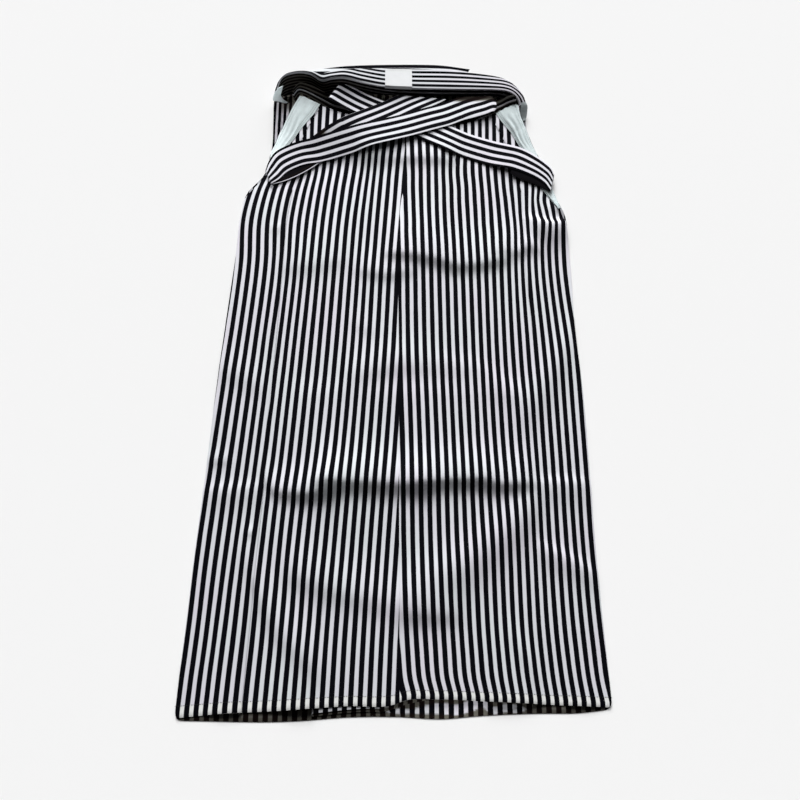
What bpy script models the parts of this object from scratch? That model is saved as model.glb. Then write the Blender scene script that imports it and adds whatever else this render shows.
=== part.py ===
"""Hakama trousers laid flat on a surface, front up.

Each piece of cloth is a closed wall. The panels are lofted along the length from cross-sections that follow
the cloth through its pleats; waistbands, ties and tapes are lofted along their length. Working lengths are
millimetres: X to the right, Y from the front hem up to the waist, Z up from the surface. They become metres,
about the middle of the laid garment, when each mesh is made.
"""

import bmesh
import bpy
import numpy as np

# ---------------------------------------------------------------- driving sizes
METRE = 0.001  # one working millimetre in Blender's metres
MIDDLE_X = -8.0  # middle of the laid garment in working coordinates
MIDDLE_Y = 493.5

CLOTH = 1.0  # wall of a single panel
BAND = 1.6  # wall of a waistband or a tie, which is cloth folded over itself
TAPE = 1.0  # wall of a facing tape or the label
GAP = 0.3  # clear distance between pieces that touch
STEP = CLOTH + GAP  # from one layer of cloth to the next
TIE_WIDTH = 43.0

OUTER_PLEAT = 22.0  # depth of the outer side pleats
INNER_PLEAT = 20.0  # depth of the inner side pleats
CENTRE_PLEAT = 55.0  # depth of the centre pleat

CROTCH_Y = 420.0  # height of the crotch above the front hem
GUSSET_LEFT = -112.0  # the folded gusset's side edges
GUSSET_RIGHT = 142.0
GUSSET_HEM = -5.5

CREASES = (  # the folds left across the front by packing: y, height, half width, from x, to x
    (300.0, 6.0, 16.0, -165.0, 185.0),
    (654.0, 5.0, 16.0, -25.0, 195.0),
)


# ---------------------------------------------------------------- tables and curves
def table(columns, *rows):
    """Rows of sizes under named columns."""
    return dict(zip(columns.split(), np.array(rows, float).T))


def smooth(at, xs, ys):
    """Reads ys at these places on a smooth curve through every row."""
    xs = np.asarray(xs, float)
    ys = np.asarray(ys, float)
    at = np.clip(np.asarray(at, float), xs[0], xs[-1])
    slope = np.gradient(ys, xs)
    i = np.clip(np.searchsorted(xs, at) - 1, 0, len(xs) - 2)
    span = xs[i + 1] - xs[i]
    t = (at - xs[i]) / span
    start = ys[i] * (1 + 2 * t) * (1 - t) ** 2 + slope[i] * span * t * (1 - t) ** 2
    end = ys[i + 1] * t**2 * (3 - 2 * t) + slope[i + 1] * span * t**2 * (t - 1)
    return start + end


def ease(value, start, end):
    """0 at start, 1 at end and soft at both; start may lie on either side of end."""
    t = np.clip((np.asarray(value, float) - start) / (end - start), 0, 1)
    return t * t * (3 - 2 * t)


# Half outline of the legs and the slanted front side edges, and the outer pleat's fold. x is given outwards.
LEFT_SIDE = table(
    "y edge outer inner",
    (0, 287, 204, 112),
    (100, 281, 199, 106),
    (203, 276, 194, 101),
    (300, 270, 189, 94),
    (420, 264, 186, 87),
    (540, 256, 181, 79),
    (650, 248, 177, 73),
    (740, 242, 172, 68),
    (760, 238, 169, 66),
    (775, 227, 168, 65),
    (797, 210, 167, 63),
    (843, 203, 165, 60),
    (868, 194, 156, 58),
    (895, 182, 145, 56),
    (940, 160, 126, 54),
)
RIGHT_SIDE = table(
    "y edge outer inner",
    (0, 271, 213, 110),
    (100, 267, 204, 104),
    (203, 264, 202, 101),
    (300, 263, 201, 100),
    (420, 262, 199, 98),
    (540, 256, 195, 96),
    (650, 255, 189, 95),
    (715, 251, 190, 94),
    (737, 245, 190, 94),
    (758, 236, 190, 93),
    (800, 223, 184, 91),
    (843, 212, 175, 88),
    (865, 206, 169, 87),
    (888, 199, 162, 86),
    (930, 187, 148, 84),
)
BACK_SIDE = table(
    "y left right",
    (0, 287, 271),
    (100, 281, 267),
    (203, 276, 264),
    (300, 270, 263),
    (420, 264, 262),
    (540, 256, 256),
    (650, 248, 252),
    (740, 241, 249),
    (765, 238, 236),
    (800, 212, 212),
    (850, 202, 203),
    (905, 202, 200),
    (945, 202, 194),
    (956, 200, 184),
)
CENTRE_EDGE = table("y x", (0, 1), (500, 0), (700, 0), (740, 2), (790, 9), (900, 9))
# Hem and waist lines by x: where the cloth ends in y, and how far the waist's corners are lifted.
FRONT_HEM = table(
    "x y",
    (-290, -15),
    (-230, -9.5),
    (-140, -5),
    (-70, 0),
    (-4, 3),
    (4, 6),
    (50, 8),
    (115, 5.5),
    (190, 2),
    (272, -1.5),
)
BACK_HEM = table(
    "x y",
    (-290, -17.5),
    (-130, -18),
    (-70, -13.5),
    (0, -13),
    (50, -15.5),
    (102, -11.7),
    (178, -8.7),
    (230, -8),
    (272, -3),
)
FRONT_WAIST = table(
    "x y lift",
    (-160, 936, 18),
    (-125, 917, 18),
    (-100, 912, 16),
    (-70, 904, 10),
    (-30, 897, 4),
    (40, 893, 2),
    (100, 899, 2),
    (130, 907, 3),
    (154, 914, 5),
    (184, 927, 6),
)
WAIST_LIFT_REACH = 95.0  # how far down the front the lift at the waist reaches
HEM_REACH = 45.0  # how far up the hem's curve is felt
WAIST_REACH = 170.0  # how far down the waist's curve is felt


# ---------------------------------------------------------------- the lie of the front
def gusset_lift(x, y):
    """The folded gusset under the middle of the fronts raises them by two layers."""
    across = ease(x, GUSSET_LEFT - 50, GUSSET_LEFT - 22) * ease(x, GUSSET_RIGHT + 50, GUSSET_RIGHT + 22)
    return 2 * STEP * across * ease(y, CROTCH_Y + 40, CROTCH_Y + 5)


def crease_lift(x, y):
    lift = 0 * x
    for crease_y, height, half, start, end in CREASES:
        across = ease(x, start - 25, start + 25) * ease(x, end + 25, end - 25)
        lift = lift + height * across * np.exp(-(((y - crease_y) / half) ** 2))
    return lift


def waist_lift(x, y):
    top = smooth(x, FRONT_WAIST["x"], FRONT_WAIST["y"])
    lift = smooth(x, FRONT_WAIST["x"], FRONT_WAIST["lift"])
    return lift * ease(y, top - WAIST_LIFT_REACH, top)


def lowest_layer(x, y):
    """Height of the mid-line of the front's lowest layer."""
    x = np.asarray(x, float)
    return 1.5 * CLOTH + GAP + gusset_lift(x, y) + crease_lift(x, y) + waist_lift(x, y)


def front_rows():
    """Rows up the front, closer where it creases, turns or ends."""
    return np.array(
        [0, 14, 60, 130, 200, 258, 280, 291, 300, 309, 322, 345, 400, 425, 455, 520, 590, 630, 644]
        + [654, 664, 680, 710, 735, 757, 777, 798, 820, 841, 859, 877, 894, 910, 925, 940],
        float,
    )


def side_rise(edge, outer):
    """Where the side section starts to rise onto the outer pleat's hidden layers, and where it is up."""
    return min(outer + OUTER_PLEAT + 30, edge - 2), outer + OUTER_PLEAT + 3


def front_path(side, sign, y, over_centre):
    """Places x and layers up of the cloth across one front at row y, from the side edge in to the centre seam.

    Each pleat is a fold edge that faces the centre: the outer section lies on top, turns under at the fold,
    runs back out by the pleat's depth and turns in again below."""
    edge = float(smooth(y, side["y"], side["edge"]))
    outer = float(smooth(y, side["y"], side["outer"]))
    inner = float(smooth(y, side["y"], side["inner"]))
    centre = sign * float(smooth(y, CENTRE_EDGE["y"], CENTRE_EDGE["x"]))
    outer_depth = OUTER_PLEAT
    u, layers = [], []

    def run(places, heights):
        u.extend(places)
        layers.extend(heights)

    # side section: down at the side edge, up on the pleat's two hidden layers
    rise_from, rise_to = side_rise(edge, outer)
    places = np.array([edge, edge - 3, rise_from - 3, (rise_from + rise_to) / 2, rise_to, outer + 8, outer])
    run(places, 2 * ease(places, rise_from, rise_to))
    run([outer, outer + outer_depth], [1, 1])
    run([outer + outer_depth], [0])
    # middle section: out from under the outer pleat, up again on the inner one
    inner_depth = INNER_PLEAT
    places = np.array([outer - 4, outer - 18, (outer + inner + inner_depth) / 2, inner + inner_depth + 14])
    run(places, 2 * ease(places, outer - 6, inner + inner_depth + 3))
    run([inner + inner_depth + 3, inner + 8, inner], [2, 2, 2])
    run([inner, inner + inner_depth], [1, 1])
    run([inner + inner_depth], [0])
    if over_centre:
        # centre section: up on the centre pleat's layers, then under it to the seam
        run([inner - 4, inner - 12, CENTRE_PLEAT + 16], [0, 0, 0.5])
        run([CENTRE_PLEAT + 4, CENTRE_PLEAT / 2, centre + 6, centre], [2, 2, 2, 2])
        run([centre, CENTRE_PLEAT / 2, CENTRE_PLEAT], [1, 1, 1])
    else:
        run([inner - 4, inner / 2, centre + 8, -CENTRE_PLEAT / 2, -CENTRE_PLEAT], [0, 0, 0, 0, 0])
    return sign * np.array(u), np.array(layers)


def front_height(x, y, layers):
    """Height of the cloth's mid-line where it is this many layers up."""
    return lowest_layer(x, y) + STEP * layers


# ---------------------------------------------------------------- walls
def offset_pair(path, wall):
    """The two faces of a wall whose mid-line is this path of (x, z) points, mitred at its corners."""
    ahead = np.diff(path, axis=0)
    ahead /= np.linalg.norm(ahead, axis=1)[:, None]
    normals = np.column_stack([-ahead[:, 1], ahead[:, 0]])
    first = np.vstack([normals[:1], normals])
    last = np.vstack([normals, normals[-1:]])
    mitre = first + last
    mitre /= np.maximum((mitre * first).sum(axis=1), 0.35)[:, None]
    return path + mitre * wall / 2, path - mitre * wall / 2


def closed_wall(name, one_face, other_face, colour, roughness=0.8):
    """A solid between two grids of points, each rows x columns x 3, closed round its four edges."""
    rows, columns = one_face.shape[:2]
    mesh = bmesh.new()
    ring = np.concatenate([one_face, other_face[:, ::-1]], axis=1)
    around = 2 * columns
    verts = []
    for row in ring:
        verts.append([mesh.verts.new(to_metres(point)) for point in row])
    for r in range(rows - 1):
        for c in range(around):
            d = (c + 1) % around
            mesh.faces.new((verts[r][c], verts[r][d], verts[r + 1][d], verts[r + 1][c]))
    for end in (0, rows - 1):
        for c in range(columns - 1):
            mesh.faces.new(
                (verts[end][c], verts[end][c + 1], verts[end][around - 2 - c], verts[end][around - 1 - c])
            )
    bmesh.ops.recalc_face_normals(mesh, faces=mesh.faces)
    data = bpy.data.meshes.new(name)
    mesh.to_mesh(data)
    mesh.free()
    data.shade_smooth()
    data.set_sharp_from_angle(angle=0.7)
    data.materials.append(cloth_material(name, colour, roughness))
    node = bpy.data.objects.new(name, data)
    GARMENT.objects.link(node)
    return node


def to_metres(point):
    x, y, z = point
    return ((x - MIDDLE_X) * METRE, (y - MIDDLE_Y) * METRE, z * METRE)


def cloth_material(name, colour, roughness):
    material = bpy.data.materials.new(name + "_cloth")
    material.use_nodes = True
    shader = material.node_tree.nodes["Principled BSDF"]
    shader.inputs["Base Color"].default_value = (*colour, 1)
    shader.inputs["Roughness"].default_value = roughness
    shader.inputs["Metallic"].default_value = 0.0
    return material


# ---------------------------------------------------------------- panels
def panel_y(y, x):
    """A front row's own y at each x: it bends to the hem line below and to the waist line above."""
    hem = smooth(x, FRONT_HEM["x"], FRONT_HEM["y"])
    waist = smooth(x, FRONT_WAIST["x"], FRONT_WAIST["y"])
    bent = y + hem * (1 - ease(y, 0, HEM_REACH))
    top_row = front_rows()[-1]
    return bent + (waist - top_row) * ease(y, top_row - WAIST_REACH, top_row)


def front(name, side, sign, over_centre, colour):
    faces = ([], [])
    for y in front_rows():
        x, layers = front_path(side, sign, y, over_centre)
        own_y = panel_y(y, x)
        path = np.column_stack([x, front_height(x, own_y, layers)])
        for face, points in zip(faces, offset_pair(path, CLOTH)):
            face.append(np.column_stack([points[:, 0], own_y, points[:, 1]]))
    return closed_wall(name, np.array(faces[0]), np.array(faces[1]), colour)


def back(name, column, sign, colour):
    """A back panel: flat on the surface from its side edge to the centre seam, lifting at the waist."""
    rows = np.array([0, 60, 130, 200, 300, 420, 540, 650, 740, 765, 800, 850, 905, 945, 956], float)
    columns = np.linspace(0, 1, 10)
    low = []
    for y in rows:
        edge = sign * float(smooth(y, BACK_SIDE["y"], BACK_SIDE[column]))
        x = edge + (sign * GAP / 2 - edge) * columns
        own_y = y + smooth(x, BACK_HEM["x"], BACK_HEM["y"]) * (1 - ease(y, 0, HEM_REACH))
        z = 0 * x
        low.append(np.column_stack([x, own_y, z]))
    low = np.array(low)
    return closed_wall(name, low + [0, 0, CLOTH], low, colour)


def gusset(name, colour):
    """The crotch gusset, folded flat between the backs and the fronts: two layers joined at its left fold."""
    right, left = GUSSET_RIGHT, GUSSET_LEFT
    low, high = 1.5 * CLOTH + GAP, 1.5 * CLOTH + GAP + STEP
    path = np.array([(right, low), (0, low), (left, low), (left, high), (0, high), (right, high)], float)
    one, other = offset_pair(path, CLOTH)
    faces = ([], [])
    for y in (GUSSET_HEM, 60, CROTCH_Y):
        for face, points in zip(faces, (one, other)):
            face.append(np.column_stack([points[:, 0], np.full(len(points), y), points[:, 1]]))
    return closed_wall(name, np.array(faces[0]), np.array(faces[1]), colour)


# ---------------------------------------------------------------- bands, ties and tapes
def along(points, steps):
    """A smooth curve through rows of numbers, with this many steps between neighbours."""
    points = np.asarray(points, float)
    padded = np.vstack([2 * points[0] - points[1], points, 2 * points[-1] - points[-2]])
    found = []
    for i in range(len(points) - 1):
        a, b, c, d = padded[i : i + 4]
        for t in np.arange(steps) / steps:
            found.append(
                0.5 * (2 * b + (c - a) * t + (2 * a - 5 * b + 4 * c - d) * t**2 + (3 * b - a - 3 * c + d) * t**3)
            )
    found.append(points[-1])
    return np.array(found)


def wall_about(grid, wall):
    """The two faces of a wall about a grid of points, moved out along the grid's own normals."""
    across = np.gradient(grid, axis=1)
    length = np.gradient(grid, axis=0)
    normal = np.cross(length, across)
    normal /= np.linalg.norm(normal, axis=2)[..., None]
    return grid + normal * wall / 2, grid - normal * wall / 2


def front_surface(x, y):
    """Height of the front's upper face where it lies on pleat layers."""
    return lowest_layer(x, y) + 2 * STEP + CLOTH / 2


def tie_rows(stretch, steps):
    """Cross-sections of one stretch of a tie: each point stands its distance above the front below it."""
    rows = []
    for x, y, heading, above, width in along(np.column_stack([stretch[key] for key in TIE_COLUMNS.split()]), steps):
        places = np.linspace(-0.5, 0.5, 4) * width
        px = x + places * np.cos(np.radians(heading))
        py = y + places * np.sin(np.radians(heading))
        rows.append(np.column_stack([px, py, front_surface(px, py) + above]))
    return rows


def tie(name, stretches, colour, steps=2):
    """A tie of one or more stretches: it turns under itself between one stretch and the next."""
    grid = tie_rows(stretches[0], steps)
    for stretch in stretches[1:]:
        lower = tie_rows(stretch, steps)
        ahead = grid[-1] - grid[-2]
        ahead /= np.linalg.norm(ahead, axis=1)[:, None]
        grid.append((grid[-1] + lower[0]) / 2 + ahead * (BAND + GAP) / 2)
        grid.extend(lower)
    one, other = wall_about(np.array(grid), BAND)
    return closed_wall(name, one, other, colour)


BAND_SHARES = (0, 0.5, 0.92, 1.08, 1.5, 2)


def band_grid(stations, shares, steps):
    """Points of a band: a row for each station and step, a column for each share of its width.

    A share runs from 0 at the low edge to 1 at the ridge and 2 at the far edge."""
    keys = ("lx", "ly", "lz", "rx", "ry", "rz", "fx", "fy", "fz")
    grid = []
    for row in along(np.column_stack([stations[key] for key in keys]), steps):
        low, ridge, far = row.reshape(3, 3)
        section = []
        for share in shares:
            section.append(low + (ridge - low) * share if share <= 1 else ridge + (far - ridge) * (share - 1))
        grid.append(section)
    return np.array(grid)


def band(name, stations, wall, colour, steps=2):
    one, other = wall_about(band_grid(stations, BAND_SHARES, steps), wall)
    return closed_wall(name, one, other, colour)


def front_tape(name, side, sign, stations, colour):
    """A facing tape on the outer face of a slanted side edge, made from the front's own rows moved out."""
    grid = []
    for y in front_rows()[::-1]:
        if not stations["y"].min() <= y <= stations["y"].max():
            continue
        x, layers = front_path(side, sign, y, False)
        places, up = sign * x[:7][::-1], layers[:7][::-1]
        inner, outer = (float(np.interp(-y, -stations["y"], stations[key])) for key in ("inner", "outer"))
        u = np.clip(places, inner, outer)
        u = np.maximum.accumulate(u + 0.3 * np.arange(7)) - 0.15 * 7
        own_y = panel_y(y, sign * u)
        z = front_height(sign * u, own_y, np.interp(u, places, up)) + CLOTH / 2 + TAPE_CLEAR + TAPE / 2
        grid.append(np.column_stack([sign * u, own_y, z]))
    grid = np.array(grid)
    up = np.array([0, 0, TAPE / 2])
    return closed_wall(name, grid + up, grid - up, colour)


def strip(name, stations, wall, colour, steps=1, across=3):
    """A strip between two edges given as points, a row for each station."""
    rows = along(np.column_stack([stations[key] for key in ("ax", "ay", "az", "bx", "by", "bz")]), steps)
    shares = np.linspace(0, 1, across)[:, None]
    grid = np.array([row[:3] + (row[3:] - row[:3]) * shares for row in rows])
    one, other = wall_about(grid, wall)
    return closed_wall(name, one, other, colour)


def size_label(name, colour):
    """The label on the inner face of the back waistband, made from the band's own points and moved out."""
    steps = 2
    rows = slice(int(LABEL_FROM * steps), int(LABEL_TO * steps) + 1)
    grid = band_grid(BACK_BAND, LABEL_SHARES, steps)
    normal = np.cross(np.gradient(grid, axis=0), np.gradient(grid, axis=1))
    normal /= np.linalg.norm(normal, axis=2)[..., None]
    normal *= np.sign(normal[..., 2:3])
    inner = (grid + normal * (BAND / 2 + TAPE_CLEAR))[rows]
    return closed_wall(name, inner + normal[rows] * TAPE, inner, colour)


# ---------------------------------------------------------------- the bands' and ties' places
TIE_COLUMNS = "x y heading above width"
RIGHT_TIE_MAIN = table(  # from the front waist's right end, across and down to the left
    TIE_COLUMNS,
    (150, 920, 96, 8.0, 40),
    (118, 917, 98, 6.2, TIE_WIDTH),
    (83, 908, 104, 5.8, TIE_WIDTH),
    (47, 898, 106, 8.3, TIE_WIDTH),
    (14, 887, 105, 9.2, TIE_WIDTH),
    (-28, 875, 104, 10.4, TIE_WIDTH),
    (-60, 865, 105, 10.2, TIE_WIDTH),
    (-85, 857, 106, 8.0, TIE_WIDTH),
    (-126, 845, 104, 5.1, TIE_WIDTH),
    (-156, 838, 104, 5.1, TIE_WIDTH),
    (-184, 826, 114, 5.1, TIE_WIDTH),
    (-197, 810, 118, 5.1, 40),
    (-202, 797, 112, 5.1, 32),
)
RIGHT_TIE_RETURN = table(  # folded under at the left, then up to the right and into the waist
    TIE_COLUMNS,
    (-202, 797, 112, 3.2, 32),
    (-184, 811, 118, 3.2, 41),
    (-159, 826, 121, 3.0, TIE_WIDTH),
    (-126, 845, 121, 2.9, TIE_WIDTH),
    (-105, 858, 121, 5.2, TIE_WIDTH),
    (-82, 871, 121, 8.0, TIE_WIDTH),
    (-51, 889, 121, 8.2, TIE_WIDTH),
    (-15, 910, 122, 7.6, TIE_WIDTH),
    (12, 926, 135, 6.0, 44),
    (25, 933, 155, 1.5, 52),
    (38, 941, 175, -3.7, 72),
)
LEFT_TIE_MAIN = table(  # from the front waist's left end, across and down to the right
    TIE_COLUMNS,
    (-103, 930, 60, 13.0, 40),
    (-87, 927, 62, 9.0, TIE_WIDTH),
    (-66, 921, 63, 6.0, TIE_WIDTH),
    (-40, 913, 64, 4.8, TIE_WIDTH),
    (-6, 902, 64, 4.2, TIE_WIDTH),
    (28, 888, 62, 3.8, TIE_WIDTH),
    (62, 871, 64, 3.5, TIE_WIDTH),
    (84, 860, 66, 2.7, TIE_WIDTH),
    (104, 851, 67, 1.9, TIE_WIDTH),
    (140, 838, 70, 2.2, TIE_WIDTH),
    (162, 830, 68, 4.6, TIE_WIDTH),
    (180, 822, 64, 5.1, TIE_WIDTH),
    (200, 810, 59, 5.1, TIE_WIDTH),
    (218, 794, 60, 5.1, TIE_WIDTH),
    (233, 777, 74, 5.1, 37),
)
LEFT_TIE_RETURN = table(  # folded under at the right
    TIE_COLUMNS,
    (233, 777, 74, 3.2, 37),
    (218, 790, 62, 3.2, 42),
    (198, 806, 60, 3.2, TIE_WIDTH),
    (180, 817, 64, 3.2, TIE_WIDTH),
)
BAND_COLUMNS = "lx ly lz rx ry rz fx fy fz"
FRONT_BAND = table(  # low edge, middle, far edge: it stands at the left, lies flat, and leans at the right
    BAND_COLUMNS,
    (-167, 928, 23.8, -169, 929, 34, -167, 931, 46),
    (-160, 937, 23.8, -161, 938, 36, -158, 939, 49),
    (-149, 934, 24.0, -150, 936, 36, -148, 938, 49),
    (-134, 923, 24.4, -134, 927, 36, -133, 932, 47),
    (-119, 914, 24.2, -118, 919, 33, -117, 926, 41),
    (-104, 908, 22.8, -103, 916, 24, -101, 925, 25),
    (-85, 903, 19.8, -84, 914, 21, -82, 927, 22),
    (-55, 897, 14.2, -54, 908, 14.5, -53, 920, 15),
    (-10, 890, 9.5, -10, 902, 9.4, -10, 914, 9.4),
    (40, 886, 8.3, 40, 898, 8.3, 40, 911, 8.3),
    (90, 891, 8.3, 89, 904, 8.3, 88, 917, 8.6),
    (125, 900, 9.4, 124, 912, 9.5, 123, 924, 10.0),
    (156, 912, 12.4, 156, 921, 14, 156, 931, 17),
    (172, 921, 13.4, 172, 929, 16, 171, 936, 20),
    (185, 927, 13.8, 185, 934, 16, 183, 939, 20),
)
BACK_BAND = table(  # low edge on the back's top, ridge, far edge; the ends curl round to the front
    BAND_COLUMNS,
    (-201, 936, 2.0, -197, 935, 34, -192, 934, 42),
    (-197, 944, 2.0, -191, 942, 46, -186, 943, 52),
    (-187, 950, 2.0, -182, 946, 57, -179, 951, 52),
    (-172, 953, 2.0, -171, 947, 63, -170, 954, 55),
    (-155, 954, 2.0, -155, 948, 65, -155, 956, 56),
    (-139, 954, 2.0, -139, 948, 60, -139, 958, 53),
    (-123, 954, 2.0, -123, 947, 45, -124, 963, 42),
    (-107, 954, 2.0, -107, 947, 50, -108, 966, 43),
    (-86, 954, 2.0, -86, 949, 49, -87, 971, 42),
    (-58, 954, 2.0, -58, 948, 39, -59, 982, 30),
    (-24, 953, 2.0, -24, 948, 29, -24, 992, 18),
    (19, 952, 2.0, 19, 949, 24, 19, 996, 13),
    (80, 951, 2.0, 80, 949, 22, 81, 992, 12),
    (143, 950, 2.0, 143, 948, 22, 145, 983, 12),
    (165, 946, 2.0, 167, 947, 21, 170, 975, 12),
    (176, 940, 2.0, 180, 943, 19, 185, 963, 11),
    (184, 932, 2.2, 188, 936, 15, 197, 948, 8),
    (188, 923, 2.4, 192, 927, 10, 202, 932, 5),
)
LABEL_FROM, LABEL_TO = 10.0, 11.0  # the label lies between these stations of the back waistband
LABEL_SHARES = (0.72, 0.92, 1.08, 1.5, 1.84)
EDGE_COLUMNS = "ax ay az bx by bz"
BACK_TIE_LEFT = table(  # near and far edges, behind the back waistband
    EDGE_COLUMNS,
    (-168, 962, 6.2, -168, 990, 8.5),
    (-128, 962, 6.2, -128, 998, 9.0),
    (-80, 962, 6.2, -80, 1004, 9.5),
    (0, 963, 6.2, 0, 1006, 9.8),
    (60, 962, 6.2, 62, 1005, 9.6),
    (92, 960, 6.2, 113, 997, 9.6),
)
BACK_TIE_RIGHT = table(  # folded along its length, under the roll of the back waistband
    EDGE_COLUMNS,
    (168, 953, 3.0, 171, 966, 3.0),
    (140, 958, 3.0, 141, 976, 3.0),
    (60, 960, 3.0, 60, 981, 3.0),
    (-60, 961, 3.0, -60, 982, 3.0),
    (-150, 961, 3.0, -150, 982, 3.0),
)
TAPE_COLUMNS = "y outer inner"  # rows of the front; distances outwards from the centre
TAPE_CLEAR = 0.7  # the tape lies this far clear of the rows it is made from
LEFT_TAPE = table(
    TAPE_COLUMNS,
    (940, 159, 131),
    (895, 181, 153),
    (868, 193, 167),
    (843, 202, 180),
    (818, 205, 186),
)
RIGHT_TAPE = table(
    TAPE_COLUMNS,
    (930, 186, 157),
    (888, 198, 174),
    (865, 205, 183),
    (843, 211, 191),
    (800, 222, 204),
    (755, 237, 224),
)
LEFT_BACK_TAPE = table(  # along the back's side edge, then up the curled end of the waistband
    EDGE_COLUMNS,
    (-201, 912, 2.2, -192, 913, 2.2),
    (-201, 920, 2.3, -189, 921, 2.3),
    (-200, 926, 4.0, -188, 928, 4.0),
    (-197, 929, 14, -187, 934, 16),
    (-192, 930, 34, -185, 935, 37),
)
RIGHT_BACK_TAPE = table(
    EDGE_COLUMNS,
    (201, 893, 1.8, 195, 891, 1.8),
    (201, 908, 1.8, 190, 903, 1.8),
    (199, 920, 1.8, 187, 914, 1.8),
)

# ---------------------------------------------------------------- the garment
for stale in list(bpy.data.objects):
    bpy.data.objects.remove(stale, do_unlink=True)
GARMENT = bpy.data.collections.new("hakama_trousers")
bpy.context.scene.collection.children.link(GARMENT)

STRIPED = (0.33, 0.33, 0.35)
PALE = (0.78, 0.82, 0.84)

back("back_left", "left", -1, STRIPED)
back("back_right", "right", 1, STRIPED)
gusset("crotch_gusset", STRIPED)
front("front_left", LEFT_SIDE, -1, False, STRIPED)
front("front_right", RIGHT_SIDE, 1, True, STRIPED)
band("front_waistband", FRONT_BAND, BAND, STRIPED)
tie("front_tie_right", (RIGHT_TIE_MAIN, RIGHT_TIE_RETURN), STRIPED)
tie("front_tie_left", (LEFT_TIE_MAIN, LEFT_TIE_RETURN), STRIPED)
band("back_waistband", BACK_BAND, BAND, STRIPED)
strip("back_tie_left", BACK_TIE_LEFT, BAND, STRIPED, steps=2)
strip("back_tie_right", BACK_TIE_RIGHT, 2 * BAND, STRIPED, steps=2)
front_tape("front_facing_left", LEFT_SIDE, -1, LEFT_TAPE, PALE)
front_tape("front_facing_right", RIGHT_SIDE, 1, RIGHT_TAPE, PALE)
strip("back_facing_left", LEFT_BACK_TAPE, TAPE, PALE, steps=2)
strip("back_facing_right", RIGHT_BACK_TAPE, TAPE, PALE, steps=2)
size_label("size_label", PALE)
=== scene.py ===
# %% [markdown]
# # Hakama trousers, laid flat
# Hakama are pleated trousers with four long ties. This pair lies on its back panels: the front is uppermost,
# its ties cross below the waist and the back waistband stands up behind them. Each piece is also a plain
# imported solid, and the tables below repeat the solids' places with small changes. This file dresses them:
# finer walls of cloth with their creases, stripes that follow the grain, sewing, tapes, light and camera.

# %% Load the solids and keep their box
import math
from functools import partial

import bmesh
import bpy
import numpy as np
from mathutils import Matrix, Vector


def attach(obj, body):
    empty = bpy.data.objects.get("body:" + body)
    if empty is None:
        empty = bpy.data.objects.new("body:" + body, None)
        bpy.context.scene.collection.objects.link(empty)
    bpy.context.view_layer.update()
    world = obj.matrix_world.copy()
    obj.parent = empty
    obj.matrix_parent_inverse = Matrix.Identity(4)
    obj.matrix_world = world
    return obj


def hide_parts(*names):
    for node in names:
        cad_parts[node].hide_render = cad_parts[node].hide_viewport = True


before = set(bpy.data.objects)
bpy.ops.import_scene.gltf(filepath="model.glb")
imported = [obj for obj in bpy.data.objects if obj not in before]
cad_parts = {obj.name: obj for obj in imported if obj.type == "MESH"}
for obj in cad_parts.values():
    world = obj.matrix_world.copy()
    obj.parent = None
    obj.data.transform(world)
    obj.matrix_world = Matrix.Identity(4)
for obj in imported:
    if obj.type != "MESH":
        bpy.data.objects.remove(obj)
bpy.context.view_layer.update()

# %% [markdown]
# ## Working sizes
# A garment is drafted flat, so everything here is in millimetres on the cutter's table: X to the right, Y up
# from the front hem to the waist, Z above the table. Short tables hold the sizes that change along the
# garment, and a smooth curve reads between their rows. One function turns these places into Blender's metres.

# %% Sizes, tables and curves
METRE = 0.001
MIDDLE_X, MIDDLE_Y = -8.0, 493.5  # middle of the laid garment on the table
CLOTH, BAND, GAP = 1.0, 1.6, 0.3  # one wall of cloth, one folded band, the air between layers
STEP = CLOTH + GAP
PITCH = 12.0  # from one pale stripe to the next, measured on the cloth
FULL = 43.0  # full width of a tie


def table(columns, *rows):
    """Rows of sizes under named columns."""
    return dict(zip(columns.split(), np.array(rows, float).T))


def smooth(at, xs, ys):
    """Reads ys on a smooth curve through every row of a table."""
    xs, ys = np.asarray(xs, float), np.asarray(ys, float)
    at = np.clip(np.asarray(at, float), xs[0], xs[-1])
    slope = np.gradient(ys, xs)
    i = np.clip(np.searchsorted(xs, at) - 1, 0, len(xs) - 2)
    span = xs[i + 1] - xs[i]
    t = (at - xs[i]) / span
    start = ys[i] * (1 + 2 * t) * (1 - t) ** 2 + slope[i] * span * t * (1 - t) ** 2
    end = ys[i + 1] * t**2 * (3 - 2 * t) + slope[i + 1] * span * t**2 * (t - 1)
    return start + end


def read(sizes, column, at):
    """Reads one column of a table at values of its first column."""
    return smooth(at, next(iter(sizes.values())), sizes[column])


def ease(value, start, end):
    """0 at start, 1 at end and soft at both; start may lie on either side of end."""
    t = np.clip((np.asarray(value, float) - start) / (end - start), 0, 1)
    return t * t * (3 - 2 * t)


def along(stations, steps):
    """A smooth curve through the rows of a table, with this many steps between neighbours."""
    rows = np.column_stack([*stations.values()])
    padded = np.vstack([2 * rows[0] - rows[1], rows, 2 * rows[-1] - rows[-2]])
    t = (np.arange(steps) / steps)[:, None]
    found = []
    for a, b, c, d in zip(padded, padded[1:], padded[2:], padded[3:]):
        bend, twist = 2 * a - 5 * b + 4 * c - d, 3 * b - a - 3 * c + d
        found.extend(0.5 * (2 * b + (c - a) * t + bend * t**2 + twist * t**3))
    return np.array([*found, rows[-1]])


def to_metres(points):
    return (np.asarray(points, float) - (MIDDLE_X, MIDDLE_Y, 0)) * METRE


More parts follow.
